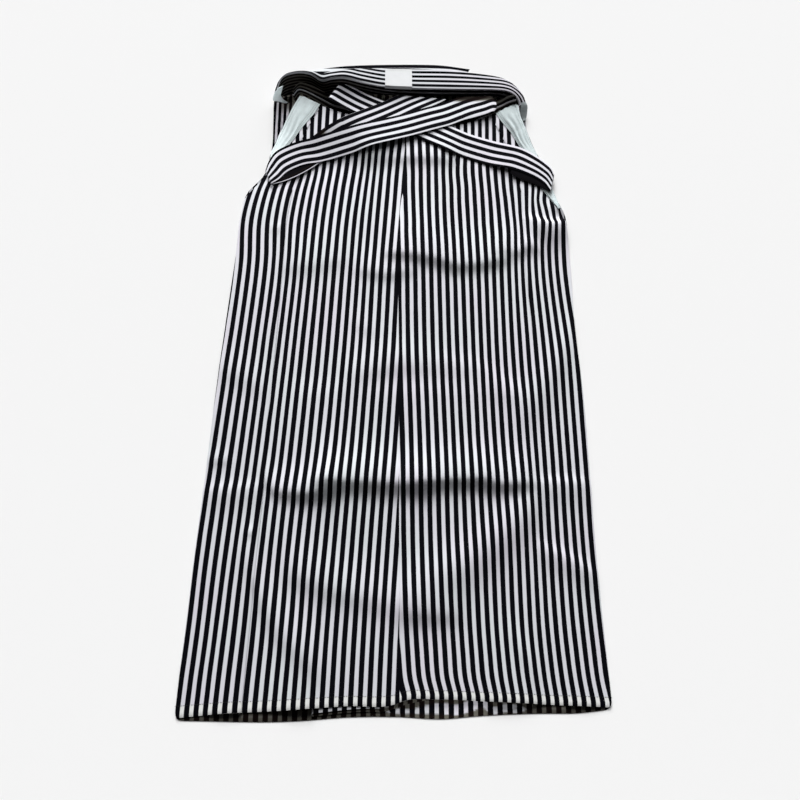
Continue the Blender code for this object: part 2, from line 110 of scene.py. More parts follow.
# %% [markdown]
# ## A wall of cloth
# Cloth has two faces, so each piece is a grid of points for its upper face, one for its lower face, and edges
# that join them. Solidify could do that, but a pleat folds back on itself within a millimetre, and there it
# needs the corners mitred, which is easy to do along the section. Each point also carries its place on the
# flat cloth, across and along the grain, as a UV map: the stripes are woven there, so they bend wherever it
# bends.

# %% Build a closed wall with its grain
SMALLEST_SHARP = 0.9  # radians; a softer edge is shaded round
LEAST_MITRE = 0.35  # a corner sharper than this is left blunt


def placed(name, data):
    """Puts a mesh, a light or a camera into the scene."""
    item = bpy.data.objects.new(name, data)
    bpy.context.scene.collection.objects.link(item)
    return item


def closed_wall(name, upper, lower, grain, painted_shade=0.0, beneath=None):
    """A solid between two grids of points (rows x columns x 3); grain is each point's place across and along.

    The argument after grain is painted shade: 0 leaves the yarn as woven, 1 dims the pale yarn, 2 paints deep
    shade inside a fold and 3 the darkest shade, where a strip lies under itself; below 0 a plain tone is
    painted lighter. beneath is the lower face's own painted shade, where it differs."""
    rows, columns = upper.shape[:2]
    around = 2 * columns
    ring = np.concatenate([upper, lower[:, ::-1]], axis=1)
    uv = np.concatenate([grain, grain[:, ::-1]], axis=1).reshape(-1, 2) * METRE
    r, c = np.meshgrid(np.arange(rows - 1) * around, np.arange(around), indexing="ij")
    d = (c + 1) % around
    sides = np.stack([r + c, r + d, r + around + d, r + around + c], -1).reshape(-1, 4)
    c = np.arange(columns - 1)
    end = np.stack([c, c + 1, around - 2 - c, around - 1 - c], -1)
    data = bpy.data.meshes.new(name)
    faces = np.concatenate([sides, end, end + (rows - 1) * around])
    data.from_pydata(to_metres(ring.reshape(-1, 3)).tolist(), [], faces.tolist())
    corner = np.zeros(len(data.loops), np.int32)
    data.loops.foreach_get("vertex_index", corner)
    data.uv_layers.new(name="Grain").data.foreach_set("uv", uv[corner].ravel().astype(np.float32))
    beneath = painted_shade if beneath is None else beneath
    inner, under = (np.broadcast_to(value, (rows, columns)) for value in (painted_shade, beneath))
    inner = np.concatenate([inner, under[:, ::-1]], axis=1).ravel().astype(np.float32)
    # the cloth's finish reads this attribute as painted shade
    data.attributes.new("Painted shade", "FLOAT", "POINT").data.foreach_set("value", inner)
    mesh = bmesh.new()
    mesh.from_mesh(data)
    bmesh.ops.recalc_face_normals(mesh, faces=mesh.faces)
    mesh.to_mesh(data)
    mesh.free()
    data.shade_smooth()
    data.set_sharp_from_angle(angle=SMALLEST_SHARP)
    print(name, len(data.polygons), "faces")
    return placed(name, data)


def row_faces(x, y, z, wall):
    """Upper and lower face of one row across a panel: a wall about its mid-line, mitred where it turns."""
    path = np.column_stack([x, z])
    ahead = np.diff(path, axis=0)
    ahead /= np.maximum(np.linalg.norm(ahead, axis=1), 1e-9)[:, None]
    normals = np.column_stack([-ahead[:, 1], ahead[:, 0]])
    first, last = np.vstack([normals[:1], normals]), np.vstack([normals, normals[-1:]])
    mitre = first + last
    mitre /= np.maximum((mitre * first).sum(axis=1), LEAST_MITRE)[:, None]
    faces = path + mitre * wall / 2, path - mitre * wall / 2
    return [np.column_stack([face[:, 0], y, face[:, 1]]) for face in faces]


# %% [markdown]
# ## The lie of the front
# The fronts lie on the backs, over a folded gusset, and their top corners stand up a little at the waist. Two
# cross folds are left from packing, with smaller slanted ones round them. All of that is one height above the
# table for each place, so every layer of every pleat rides on it and none can cut through another.

# %% Outline of the fronts and of the backs
LEFT_SIDE = table(
    "y edge outer inner",
    (0, 287, 204, 112), (100, 281, 199, 106), (203, 276, 194, 101), (300, 270, 189, 94), (420, 264, 186, 87),
    (540, 256, 181, 79), (650, 248, 177, 73), (740, 242, 172, 68), (760, 238, 169, 66), (775, 227, 168, 65),
    (797, 210, 167, 63), (843, 203, 165, 60), (868, 194, 156, 58), (895, 182, 145, 56), (940, 160, 126, 54),
)
RIGHT_SIDE = table(
    "y edge outer inner",
    (0, 271, 213, 110), (100, 267, 204, 104), (203, 264, 202, 101), (300, 263, 201, 100), (420, 262, 199, 98),
    (540, 256, 195, 96), (650, 255, 189, 95), (715, 251, 190, 94), (737, 245, 190, 94), (758, 236, 190, 93),
    (800, 227, 184, 91), (843, 216, 175, 88), (865, 208, 169, 87), (888, 202, 162, 86), (930, 190, 148, 84),
)
BACK_SIDE = table(
    "y left right",
    (0, 287, 271), (100, 281, 267), (203, 276, 264), (300, 270, 263), (420, 264, 262), (540, 256, 256),
    (650, 248, 252), (740, 241, 249), (765, 238, 236), (800, 212, 212), (850, 202, 203), (905, 202, 200),
    (945, 202, 194), (956, 200, 184),
)
CENTRE_EDGE = table("y x", (0, 1), (500, 0), (700, 0), (740, 2), (790, 9), (900, 9))
FRONT_HEM = table(
    "x y",
    (-290, -15), (-230, -9.5), (-140, -5), (-70, 0), (-4, 3), (4, 6), (50, 8), (115, 5.5), (190, 2),
    (272, -1.5),
)
BACK_HEM = table(
    "x y",
    (-290, -17.5), (-130, -18), (-70, -13.5), (0, -13), (50, -15.5), (102, -11.7), (178, -8.7), (230, -8),
    (272, -3),
)
FRONT_WAIST = table(
    "x y lift",
    (-160, 936, 18), (-125, 917, 18), (-100, 912, 16), (-70, 904, 10), (-30, 897, 4), (40, 893, 2),
    (100, 899, 2), (130, 907, 3), (154, 914, 5), (184, 927, 6),
)
TOP_ROW = 940.0
WAIST_LIFT_REACH, HEM_REACH, WAIST_REACH = 95.0, 45.0, 170.0  # how far from its edge each bend dies away
OUTER_PLEAT, INNER_PLEAT, CENTRE_PLEAT = 22.0, 20.0, 55.0  # depth of the folds
GUSSET_LEFT, GUSSET_RIGHT, CROTCH_Y = -112.0, 142.0, 420.0
print("front length", TOP_ROW, "mm, hem", LEFT_SIDE["edge"][0] + RIGHT_SIDE["edge"][0], "mm")

# %% Creases and height
# A ridge runs through three places, x1 y1, xm ym and x2 y2. It falls over the width near on the side of the
# hem and over the width far on the side of the waist: a short fall is a sharp shade, a long one a soft slope.
RIDGES = table(
    "x1 y1 xm ym x2 y2 height near far",
    (-62, 834, 5, 832, 88, 829, 5, 12, 26),  # under the crossing of the ties
    (-25, 662, 28, 655, 76, 645, 9.5, 11, 62),  # upper packing crease
    (62, 642, 105, 640, 165, 652, 8.5, 12, 50),
    (145, 668, 175, 664, 205, 668, 5, 12, 40),
    (-66, 635, -20, 627, 24, 633, 5, 12, 30),
    (196, 716, 222, 706, 262, 712, 12, 30, 9),  # crumpled by the right side vent
    (178, 664, 196, 672, 214, 660, 3.6, 9, 12),
    (232, 742, 246, 738, 262, 744, 4, 8, 8),
    (-196, 706, -188, 702, -180, 707, 2.6, 9, 9),
    (-178, 642, -130, 644, -80, 652, 4, 18, 60),
    (-70, 546, -50, 536, -34, 530, 2, 10, 20),
    (-85, 454, 0, 480, 45, 478, 4.5, 22, 30),  # arc in the middle
    (45, 480, 110, 466, 175, 424, 3, 24, 16),
    (160, 392, 200, 436, 255, 526, 4, 22, 22),  # slanting up to the right edge
    (-262, 474, -225, 458, -190, 440, 2.8, 16, 26),
    (-190, 308, -176, 292, -150, 284, 7, 10, 22),  # lower packing crease
    (-158, 286, -128, 282, -85, 290, 11, 12, 30),
    (-120, 302, -60, 300, 40, 295, 13, 15, 40),
    (20, 296, 75, 302, 125, 303, 12, 12, 40),
    (110, 298, 150, 296, 186, 300, 11, 12, 40),
    (-268, 332, -255, 332, -236, 330, 3, 8, 14),
    (-270, 286, -230, 287, -188, 290, 3.4, 24, 10),
    (186, 296, 220, 296, 262, 296, 4, 26, 9),
    (-10, 133, 75, 176, 192, 272, 7, 30, 28),  # slanting up to the right below it
    (0, 122, 40, 119, 80, 119, 5, 16, 26),
    (-155, 178, -100, 157, -5, 132, 5.5, 20, 34),  # slanting up to the left
    (-212, 204, -180, 132, -100, 42, 4.5, 12, 22),
    (186, 206, 225, 189, 266, 166, 4.5, 20, 10),
    (140, 104, 158, 73, 178, 40, 2.6, 11, 7),
    (-210, 228, -203, 227, -196, 227, 2.6, 6, 8),
)
RIDGE_END, RIDGE_PAST = 24, 0.6  # a ridge fades out over this length, and this share of it past its end
RIPPLES_Y = (800, 700)  # the soft waves die away towards the waist
GUSSET_RISE, CROTCH_RISE = (50, 22), (40, 5)  # the fronts climb onto the gusset this far outside its edges


def ridge_height(x, y):
    """How far the creases raise the cloth at each place."""
    x, y = np.broadcast_arrays(x, y)
    lift = np.zeros(x.shape)
    for x1, y1, xm, ym, x2, y2, height, near, far in zip(*RIDGES.values()):
        crest = smooth(x, (x1, xm, x2), (y1, ym, y2))
        off = (y - crest) / math.hypot(1, (y2 - y1) / (x2 - x1))
        soft = min(RIDGE_END, (x2 - x1) / 2)
        end = ease(x, x1 - soft * RIDGE_PAST, x1 + soft) * ease(x, x2 + soft * RIDGE_PAST, x2 - soft)
        lift = lift + height * end * np.exp(-((off / np.where(off < 0, near, far)) ** 2))
    return lift


def ripple(x, y):
    """Soft uneven waves that run mostly along the pleats."""
    drift = x + 0.06 * y
    wave = np.sin(drift / 9.7 + 1.3 * np.sin(y / 83)) + 0.8 * np.sin(drift / 15.1 - y / 140 + 2.0)
    cross = 0.7 * np.sin(y / 31 + 1.7 * np.sin(x / 47)) + 0.6 * np.sin(y / 54 - x / 70 + 0.8)
    return (0.16 * (wave + 1.8) + 0.3 * (cross + 1.3)) * ease(y, *RIPPLES_Y)


def lowest_layer(x, y):
    """Height of the mid-line of the front's lowest layer."""
    x, y = np.asarray(x, float), np.asarray(y, float)
    over_gusset = ease(GUSSET_LEFT - x, *GUSSET_RISE) * ease(x - GUSSET_RIGHT, *GUSSET_RISE)
    over_gusset = over_gusset * ease(y - CROTCH_Y, *CROTCH_RISE)
    top = read(FRONT_WAIST, "y", x)
    at_waist = read(FRONT_WAIST, "lift", x) * ease(y, top - WAIST_LIFT_REACH, top)
    return 1.5 * CLOTH + GAP + 2 * STEP * over_gusset + at_waist + ridge_height(x, y) + ripple(x, y)


# %% [markdown]
# ## The grain
# The stripes are the warp: woven lines that run from hem to waist and spread a little where the legs widen. A
# few guide stripes are enough to say where the warp lies: each column below is one pale stripe, counted out
# from the centre, and the cloth between two guides holds its own count of stripes. The result is a number
# across the cloth in millimetres, a whole pitch for each stripe.

# %% Guide stripes
LEFT_GRAIN = table(
    "y 1 3 6 8 11 16 19",
    (7, -57, -81.5, -118, -142, -179, -242, -278),
    (70, -54.5, -79, -115, -138, -175, -237.5, -273),
    (203, -47, -71, -107.5, -132, -169, -228, -266),
    (345, -37.5, -62, -97, -121.5, -159, -216.5, -255),
    (498, -28, -52.5, -87, -111.5, -149, -205, -243),
    (647, -21, -45.5, -79, -103.5, -139.5, -195, -233),
    (725, -16, -40.5, -74.5, -98.5, -135.5, -195, -233),
    (770, -13, -37.5, -69.5, -94.5, -130.5, -188, -225),
    (806, -11, -35, -65.5, -90.5, -125.5, -178, -214),
    (860, -8, -32, -62, -86.5, -123, -178, -214),
    (935, -4, -28, -60, -84, -120, -180, -216),
)
RIGHT_GRAIN = table(
    "y 1 4 8 11 14 17 19 21",
    (7, 35.5, 71, 117, 150.5, 184, 217.5, 241, 265),
    (32, 31, 66.5, 113, 147.5, 181, 214.5, 237.5, 260.5),
    (70, 28, 64, 110.5, 144.5, 178, 211.5, 234.5, 258),
    (203, 23.5, 59.5, 107, 142, 176, 208, 230.5, 253),
    (345, 22, 58, 104, 138.5, 174, 206.5, 229, 252),
    (498, 18, 54, 101, 135, 169.5, 203, 226, 249.5),
    (640, 16.5, 52.5, 99.5, 134.5, 169, 198.5, 219, 241),
    (672, 16, 52, 99, 134, 169.5, 199, 219.5, 241),
    (692, 15.5, 51.5, 98.5, 134, 170.5, 199, 221.5, 241),
    (712, 15.5, 51, 98, 133.5, 170.5, 199, 222.5, 241.5),
    (732, 15, 50.5, 97.5, 133.5, 169.5, 199, 219.5, 240.5),
    (753, 14.5, 50.5, 97, 133, 168.5, 200, 216.5, 239),
    (772, 14, 50.5, 97, 132.5, 167, 201, 219, 242),
    (806, 14, 50.5, 95.5, 131, 166, 201, 223.5, 246),
    (860, 13, 50, 97, 131, 166, 202, 225, 248),
    (925, 12, 49, 98, 132.5, 166, 200, 223, 246),
)


def grain_across(x, y, guides):
    """Millimetres across the cloth, counted from the centre, at each place of one front."""
    stripes = [key for key in guides if key != "y"]
    places = np.array([read(guides, key, y) for key in stripes])
    across = np.array(stripes, float) * PITCH
    sign = np.sign(places[-1])
    u, places = sign * x, sign * places
    first, last = across[0] - (places[0] - u), across[-1] + (u - places[-1])
    return np.where(u < places[0], first, np.where(u > places[-1], last, np.interp(u, places, across)))


# %% [markdown]
# ## The fronts
# Each front has two pressed pleats at the side, and the right front laps over the left with the deep centre
# pleat. A pleat is one continuous cloth that turns under at its fold, runs back, and turns again, so the
# section below walks through all three layers. It is a rule that holds from hem to waist, so the panel is
# lofted from it in code; only the distances between the pleats change from row to row.

# %% Walk across one front
HEM_CORNER, FRONT_CORNER = 9.0, 0.6  # how round a back's corner is, and a front's share of that
SIDE_RISE_FROM, SIDE_RISE_TO = 30, 3  # beyond the outer pleat's hidden layers, which the side climbs onto
HEM_ROLL, HEM_ROLL_HEIGHT = 0.8, 2.5  # the hem's last millimetres roll down towards the table
FOLD_OUT = 0.55  # how far the half round of a fold goes past its edge
FRONT_WALL = 0.9 * CLOTH
FRONT_ROWS = np.concatenate([[0, 1, 3], np.arange(6, 936, 4.5), [938, TOP_ROW]])


def hem_corner(y):
    """How far a rounded hem corner is cut back at this height above the edge."""
    return HEM_CORNER * (1 - math.sqrt(1 - (1 - min(y / HEM_CORNER, 1)) ** 2))


def side_rise(edge, outer):
    """Where the side section starts to rise onto the outer pleat's hidden layers, and where it is up."""
    return min(outer + OUTER_PLEAT + SIDE_RISE_FROM, edge - 2), outer + OUTER_PLEAT + SIDE_RISE_TO


def front_section(side, sign, over_centre, guides, y):
    """x, layers up, place across the grain and what shows, at row y of one front, from side to centre.

    The small distances are millimetres from a fold or an edge."""
    edge, outer, inner = (float(read(side, key, y)) for key in ("edge", "outer", "inner"))
    edge -= FRONT_CORNER * hem_corner(y)
    centre = sign * float(read(CENTRE_EDGE, "x", y))
    u, up, shown = [], [], []

    def run(places, layers, visible=True, steps=4):
        """Walks through these places, each this many layers up."""
        at = np.linspace(0, len(places) - 1, (len(places) - 1) * steps + 1)
        u.extend(np.interp(at, np.arange(len(places)), places))
        up.extend(np.interp(at, np.arange(len(places)), np.broadcast_to(layers, len(places))))
        shown.extend([visible] * len(at))

    def pleat(fold, depth):
        """The cloth turns under at a fold, runs back below itself and turns again."""
        run([fold - FOLD_OUT], 1.5)
        run([fold + 1, fold + depth], 1, False, 2)
        run([fold + depth + 0.5], 0.5, False)
        run([fold + depth, fold + 2], 0, False, 2)

    low, high = side_rise(edge, outer)
    places = np.array([edge, edge - 3, low - 3, (low + high) / 2, high, outer + 8, outer + 1])
    run(places, 2 * ease(places, low, high))
    pleat(outer, OUTER_PLEAT)
    # out from under the outer pleat, up again on the inner one
    low, high = outer - 6, inner + INNER_PLEAT + 3
    places = np.array([outer - 2, low, low - 12, (low + high) / 2, high + 11, high, inner + 8, inner + 1])
    run(places, 2 * ease(places, low, high))
    pleat(inner, INNER_PLEAT)
    if over_centre:
        run([inner - 2, inner - 12], 0, True, 2)
        places = np.array([inner - 16, CENTRE_PLEAT + 16, CENTRE_PLEAT + 4])
        run(places, 2 * ease(places, inner - 14, CENTRE_PLEAT + 6))
        run([CENTRE_PLEAT, CENTRE_PLEAT / 2, centre + 6, centre + 1], 2)
        run([centre - FOLD_OUT], 1.5)
        run([centre + 1, CENTRE_PLEAT / 2, CENTRE_PLEAT], 1, False, 2)
    else:
        run([inner - 2, (inner - centre) / 2, centre + 8, -8], 0, True, 8)
        run([-12, -CENTRE_PLEAT], 0, False, 3)
    x, up, shown = sign * np.array(u), np.array(up), np.array(shown)
    across = grain_across(x, y, guides)
    path = np.concatenate([[0], np.cumsum(np.abs(np.diff(x)) + np.abs(np.diff(up)))])
    return x, up, np.where(shown, across, np.interp(path, path[shown], across[shown])), shown


def panel_y(y, x):
    """A front row's own y at each x: it bends to the hem line below and to the waist line above."""
    bent = y + read(FRONT_HEM, "y", x) * (1 - ease(y, 0, HEM_REACH))
    return bent + (read(FRONT_WAIST, "y", x) - TOP_ROW) * ease(y, TOP_ROW - WAIST_REACH, TOP_ROW)


def make_front(name, *front):
    faces, grain = [], []
    for y in FRONT_ROWS:
        x, up, across, _ = front_section(*front, y)
        own_y = panel_y(y, x)
        z = lowest_layer(x, own_y) + STEP * up - HEM_ROLL * (1 - ease(y, 0, HEM_ROLL_HEIGHT))
        faces.append(row_faces(x, own_y, z, FRONT_WALL))
        grain.append(np.column_stack([across, np.full_like(across, y)]))
    return closed_wall(name, *np.swapaxes(faces, 0, 1), np.array(grain))


# Each front's outline, the side it lies on, whether it laps over the centre, and its guide stripes.
LEFT_FRONT = (LEFT_SIDE, -1, False, LEFT_GRAIN)
RIGHT_FRONT = (RIGHT_SIDE, 1, True, RIGHT_GRAIN)
front_left = make_front("striped_front_left", *LEFT_FRONT)
front_right = make_front("striped_front_right", *RIGHT_FRONT)

# %% [markdown]
# ## The backs and the gusset
# The backs lie flat on the table and show at the hems, beside the fronts and inside the waist. The gusset
# that joins the legs is folded between them, and only its hem shows. Both are plain panels with few turns, so
# they are lofted row by row from the hem up, as the fronts are.

# %% Lay the backs
BACK_GRAIN_SPREAD = 1.04  # the backs spread towards the hem too
BACK_SPREAD_Y = (700, 0)
VENT_TURN, VENT_TURN_Y, VENT_CLOSENESS = -173, (800, 850), 1.45  # turned up by the left vent: closer stripes
VENT_HOLLOW_X, VENT_HOLLOW_Y = (-196, -188), (918, 932)  # painted shade in the left vent's hollow
BACK_RIM, BACK_RIM_LIFT, BACK_RIM_THIN = 0.5, 0.1, 0.3  # the hem's edge is thinned and rounded by these
BACK_COLUMNS = 90
BACK_ROWS = np.concatenate([[0, 1, 2.5, 4], np.arange(5.5, 22, 1.5), [28], np.arange(40, 957, 12), [956]])
HEM_ROWS_END = 200  # below this the painted shade is the hem's, above it the vent hollow's
LIT_SOFT = 0.8  # how soft the edges of the lit hem are
# Below the hem rows' end the backs are painted in shade, apart from these rows, where their hem catches the
# light.
UNSHADED_HEM = table(  # where the turned-up hem of the backs catches the light: from low to high above the edge
    "x low high",
    (-26, 6, 6.1), (-6, 4, 9), (14, 4.5, 9), (32, 5.5, 13), (52, 5.5, 15.5), (76, 3.5, 13.5), (92, 6, 17.5),
    (108, 8, 19), (114, 3, 12), (136, 3, 11.5), (154, 2, 9), (162, 6, 6.1),
)


def back_painted_shade(x, y):
    """Painted shade on a back: 1 below the hem rows' end and in the left vent's hollow, 0 where its hem
    catches the light.
    """
    low, high = read(UNSHADED_HEM, "low", x), read(UNSHADED_HEM, "high", x)
    lit = ease(y, low - LIT_SOFT, low + LIT_SOFT) * ease(y, high + LIT_SOFT, high - LIT_SOFT)
    return np.where(y < HEM_ROWS_END, 1 - lit, ease(y, *VENT_HOLLOW_Y) * ease(x, *VENT_HOLLOW_X))


def make_back(name, column, sign):
    upper, lower, grain, painted_shade = [], [], [], []
    for y in BACK_ROWS:
        edge = sign * (float(read(BACK_SIDE, column, y)) - hem_corner(y))
        x = edge + (sign * GAP / 2 - edge) * np.linspace(0, 1, BACK_COLUMNS)
        own_y = y + read(BACK_HEM, "y", x) * (1 - ease(y, 0, HEM_REACH))
        rim = 1 - ease(y, 0, HEM_ROLL_HEIGHT)
        lower.append(np.column_stack([x, own_y + BACK_RIM * rim, np.full_like(x, BACK_RIM_LIFT * rim)]))
        upper.append(np.column_stack([x, own_y, np.full_like(x, CLOTH - BACK_RIM_THIN * rim)]))
        spread = 1 + (BACK_GRAIN_SPREAD - 1) * ease(y, *BACK_SPREAD_Y)
        turned = (VENT_CLOSENESS - 1) * np.minimum(x - VENT_TURN, 0) * ease(y, *VENT_TURN_Y)
        grain.append(np.column_stack([x / spread + PITCH / 4 + turned, own_y]))
        # painted shade at the hem and in the left vent's hollow
        painted_shade.append(back_painted_shade(x, y))
    return closed_wall(name, *(np.array(rows) for rows in (upper, lower, grain, painted_shade)))


back_left = make_back("striped_back_left", "left", -1)
back_right = make_back("striped_back_right", "right", 1)

# %% Fold the gusset
GUSSET_EDGE = table("x y", (-112, -9), (-70, -4.5), (-50, -3), (-14, -1.5), (5, 5), (50, 13), (142, 11))
GUSSET_COLUMNS, GUSSET_ROWS = 60, (0, 4, 60, 200, CROTCH_Y)
GUSSET_SHADE_FADES = (-36, -8)  # the upper layer's hem is painted in shade right of these, and not left of them
GUSSET_LAG, GUSSET_STRIPE = 3.5, 5  # the lower layer's hem lies this much lower; where its first stripe is
GUSSET_BEND = (30, 0)  # its hem line bends below this height


def make_gusset(name):
    low = 1.5 * CLOTH + GAP
    across = np.linspace(GUSSET_RIGHT, GUSSET_LEFT, GUSSET_COLUMNS)
    x = np.concatenate([across, across[::-1]])
    below = np.arange(len(x)) < GUSSET_COLUMNS
    hem = read(GUSSET_EDGE, "y", x) - np.where(below, GUSSET_LAG, 0)
    faces, grain = [], []
    for y in GUSSET_ROWS:
        own_y = y + hem * ease(y, *GUSSET_BEND)
        faces.append(row_faces(x, own_y, np.where(below, low, low + STEP), CLOTH))
        grain.append(np.column_stack([x + GUSSET_STRIPE, own_y]))
    # painted shade: all over the lower layer, and on the upper layer's hem towards the right
    painted_shade = np.where(below, 1, ease(x, *GUSSET_SHADE_FADES))
    return closed_wall(name, *np.swapaxes(faces, 0, 1), np.array(grain), painted_shade)


gusset = make_gusset("striped_crotch_gusset")

# %% [markdown]
# ## Waistbands and ties
# A waistband or a tie is a strip of the same cloth folded over itself, so it is thicker than a panel and has
# rounded edges. Each is a strip swept along stations: the waistbands by their low edge, ridge and far edge,
# the ties by their middle line, their heading and their height above the cloth below. The stripes run along
# them.

# %% Sweep a band
FRONT_BAND = table(
    "lx ly lz rx ry rz fx fy fz",
    (-167, 928, 23.8, -169, 929, 34, -167, 931, 46),
    (-160, 937, 23.8, -161, 938, 36, -158, 939, 49),
    (-149, 934, 24, -150, 936, 36, -148, 938, 49),
    (-134, 923, 24.4, -134, 927, 36, -133, 932, 47),
    (-119, 914, 24.2, -118, 919, 33, -117, 926, 41),
    (-104, 908, 22.8, -103, 916, 24, -101, 925, 25),
    (-85, 903, 19.8, -84, 914, 21, -82, 927, 22),
    (-55, 897, 14.2, -54, 908, 14.5, -53, 920, 15),
    (-10, 890, 9.5, -10, 902, 9.4, -10, 914, 9.4),
    (40, 886, 8.3, 40, 898, 8.3, 40, 911, 8.3),
    (90, 891, 8.3, 89, 904, 8.3, 88, 917, 8.6),
    (125, 900, 9.4, 124, 912, 9.5, 123, 924, 10),
    (156, 912, 12.4, 156, 921, 14, 156, 931, 17),
    (172, 921, 13.4, 172, 929, 16, 171, 936, 20),
    (185, 927, 13.8, 185, 934, 16, 183, 939, 20),
)
BACK_BAND = table(
    "lx ly lz rx ry rz fx fy fz",
    (-201, 936, 2, -197, 935, 34, -192, 934, 42),
    (-197, 944, 2, -191, 942, 46, -186, 943, 52),
    (-187, 950, 2, -182, 946, 57, -179, 951, 52),
    (-172, 953, 2, -171, 947, 63, -170, 954, 55),
    (-155, 954, 2, -155, 948, 65, -155, 956, 56),
    (-139, 954, 2, -139, 948, 60, -139, 958, 53),
    (-123, 954, 2, -123, 947, 45, -124, 963, 42),
    (-107, 954, 2, -107, 947, 50, -108, 966, 43),
    (-86, 954, 2, -86, 949, 49, -87, 971, 42),
    (-58, 954, 2, -58, 948, 39, -59, 982, 30),
    (-24, 953, 2, -24, 948, 29, -24, 992, 18),
    (19, 952, 2, 19, 949, 24, 19, 996, 13),
    (80, 951, 2, 80, 949, 22, 81, 992, 12),
    (143, 950, 2, 143, 948, 22, 145, 983, 12),
    (165, 946, 2, 167, 947, 21, 170, 975, 12),
    (176, 940, 2, 180, 943, 19, 185, 963, 11),
    (184, 932, 2.2, 188, 936, 15, 197, 948, 8),
    (188, 923, 2.4, 192, 927, 10, 202, 932, 5),
)
STEPS = 8  # between two stations of a band or a tie
EDGE_POWER, EDGE_LEAST = 10, 0.06  # how late a strip thins to its edge, and how thin, squared
RIDGE_FLATTENED = 0.35  # the rounded ridge is drawn this far towards its own chord
PAINTED_SHADE_FROM = (0, 4)  # a band's painted shade fades in over this distance from its ridge


def wall_about(grid, wall):
    """The two faces of a wall about a grid of points, moved out along the grid's own normals."""
    normal = np.cross(np.gradient(grid, axis=0), np.gradient(grid, axis=1))
    normal /= np.maximum(np.linalg.norm(normal, axis=2), 1e-9)[..., None]
    half = normal * np.broadcast_to(wall, grid.shape[:2])[..., None] / 2
    return grid + half, grid - half


def rounded_wall(grid, wall):
    """A wall that thins to a rounded edge at both sides of a strip."""
    t = np.abs(np.linspace(-1, 1, grid.shape[1]))
    return wall * np.sqrt(np.maximum(1 - t**EDGE_POWER, EDGE_LEAST))


def lengths(grid, axis):
    """Distance walked along one axis of a grid, from its first row or column."""
    step = np.linalg.norm(np.diff(grid, axis=axis), axis=2)
    start = np.zeros_like(np.take(step, [0], axis=axis))
    return np.concatenate([start, np.cumsum(step, axis=axis)], axis=axis)


def strip(name, grid, wall, across=0.0, painted_shade=0.0, beneath=None):
    """A strip about this grid; across is each point's place across the grain, or where the count starts."""
    if np.isscalar(across):
        across = lengths(grid, 1) + across
    grain = np.stack([across, lengths(grid, 0)], -1)
    return closed_wall(name, *wall_about(grid, rounded_wall(grid, wall)), grain, painted_shade, beneath)


def band_grid(stations, shares):
    """A row for each station and step, a column for each share: 0 low edge, 1 ridge, 2 far edge."""
    low, ridge, far = np.split(along(stations, STEPS)[:, None], 3, axis=2)
    s = shares[:, None]
    return np.where(s <= 1, low + (ridge - low) * s, ridge + (far - ridge) * (s - 1))


def make_band(name, stations, bend, ridge_stripe, closeness, far_painted_shade, beneath=None):
    """A band whose stripes are counted from its ridge.

    bend is the share of its width that is rounded at the ridge. closeness says along x how many times closer
    the stripes lie on each face and, in its column inner, how much shade is painted on the near face; the
    argument after it gives the far face's share of that painted shade."""
    round_ridge = [1 - bend / 2, 1, 1 + bend / 2]
    shares = np.concatenate([np.linspace(0, 1 - bend, 7), round_ridge, np.linspace(1 + bend, 2, 6)])
    grid = band_grid(stations, shares)
    near = np.abs(shares - 1) < bend
    middle = 0.5 * (grid[:, np.argmax(near) - 1] + grid[:, len(near) - np.argmax(near[::-1])])
    grid[:, near] += RIDGE_FLATTENED * (middle[:, None] - grid[:, near])
    across = lengths(grid, 1)
    across = across - across[:, np.argmin(np.abs(shares - 1))][:, None]
    # inner is the painted shade on the near face; the far face takes its share of it, fading in from the ridge
    near_face, far_face, inner = (read(closeness, key, grid[:, :1, 0]) for key in ("near", "far", "inner"))
    inner = inner * np.where(across < 0, 1, far_painted_shade) * ease(np.abs(across), *PAINTED_SHADE_FROM)
    across = across * np.where(across < 0, near_face, far_face) + ridge_stripe
    return strip(name, grid, BAND, across, inner, beneath)


# The column inner is painted shade on a band's near face, where the waist is dark inside.
FRONT_CLOSENESS = table(
    "x near far inner",
    (-170, 1.6, 1.6, 1), (-110, 1.6, 1.6, 1), (-84, 1, 1, 0.2), (-60, 1, 1, 0), (120, 1, 1, 0),
    (140, 1.4, 1.3, 0.75), (190, 1.6, 1.5, 0.85),
)
BACK_CLOSENESS = table(
    "x near far inner",
    (-205, 1.5, 1.2, 1), (-110, 1.5, 1.2, 1), (-70, 1.3, 1.16, 0.9), (-30, 1.16, 1.16, 0.5),
    (120, 1.16, 1.16, 0.4), (160, 1.3, 1.3, 0.6), (205, 1.5, 1.5, 0.8),
)
front_waistband = make_band("striped_front_waistband", FRONT_BAND, 0.1, 3.0, FRONT_CLOSENESS, 1.0)
back_waistband = make_band("striped_back_waistband", BACK_BAND, 0.08, 0.0, BACK_CLOSENESS, 0.0, beneath=0.0)

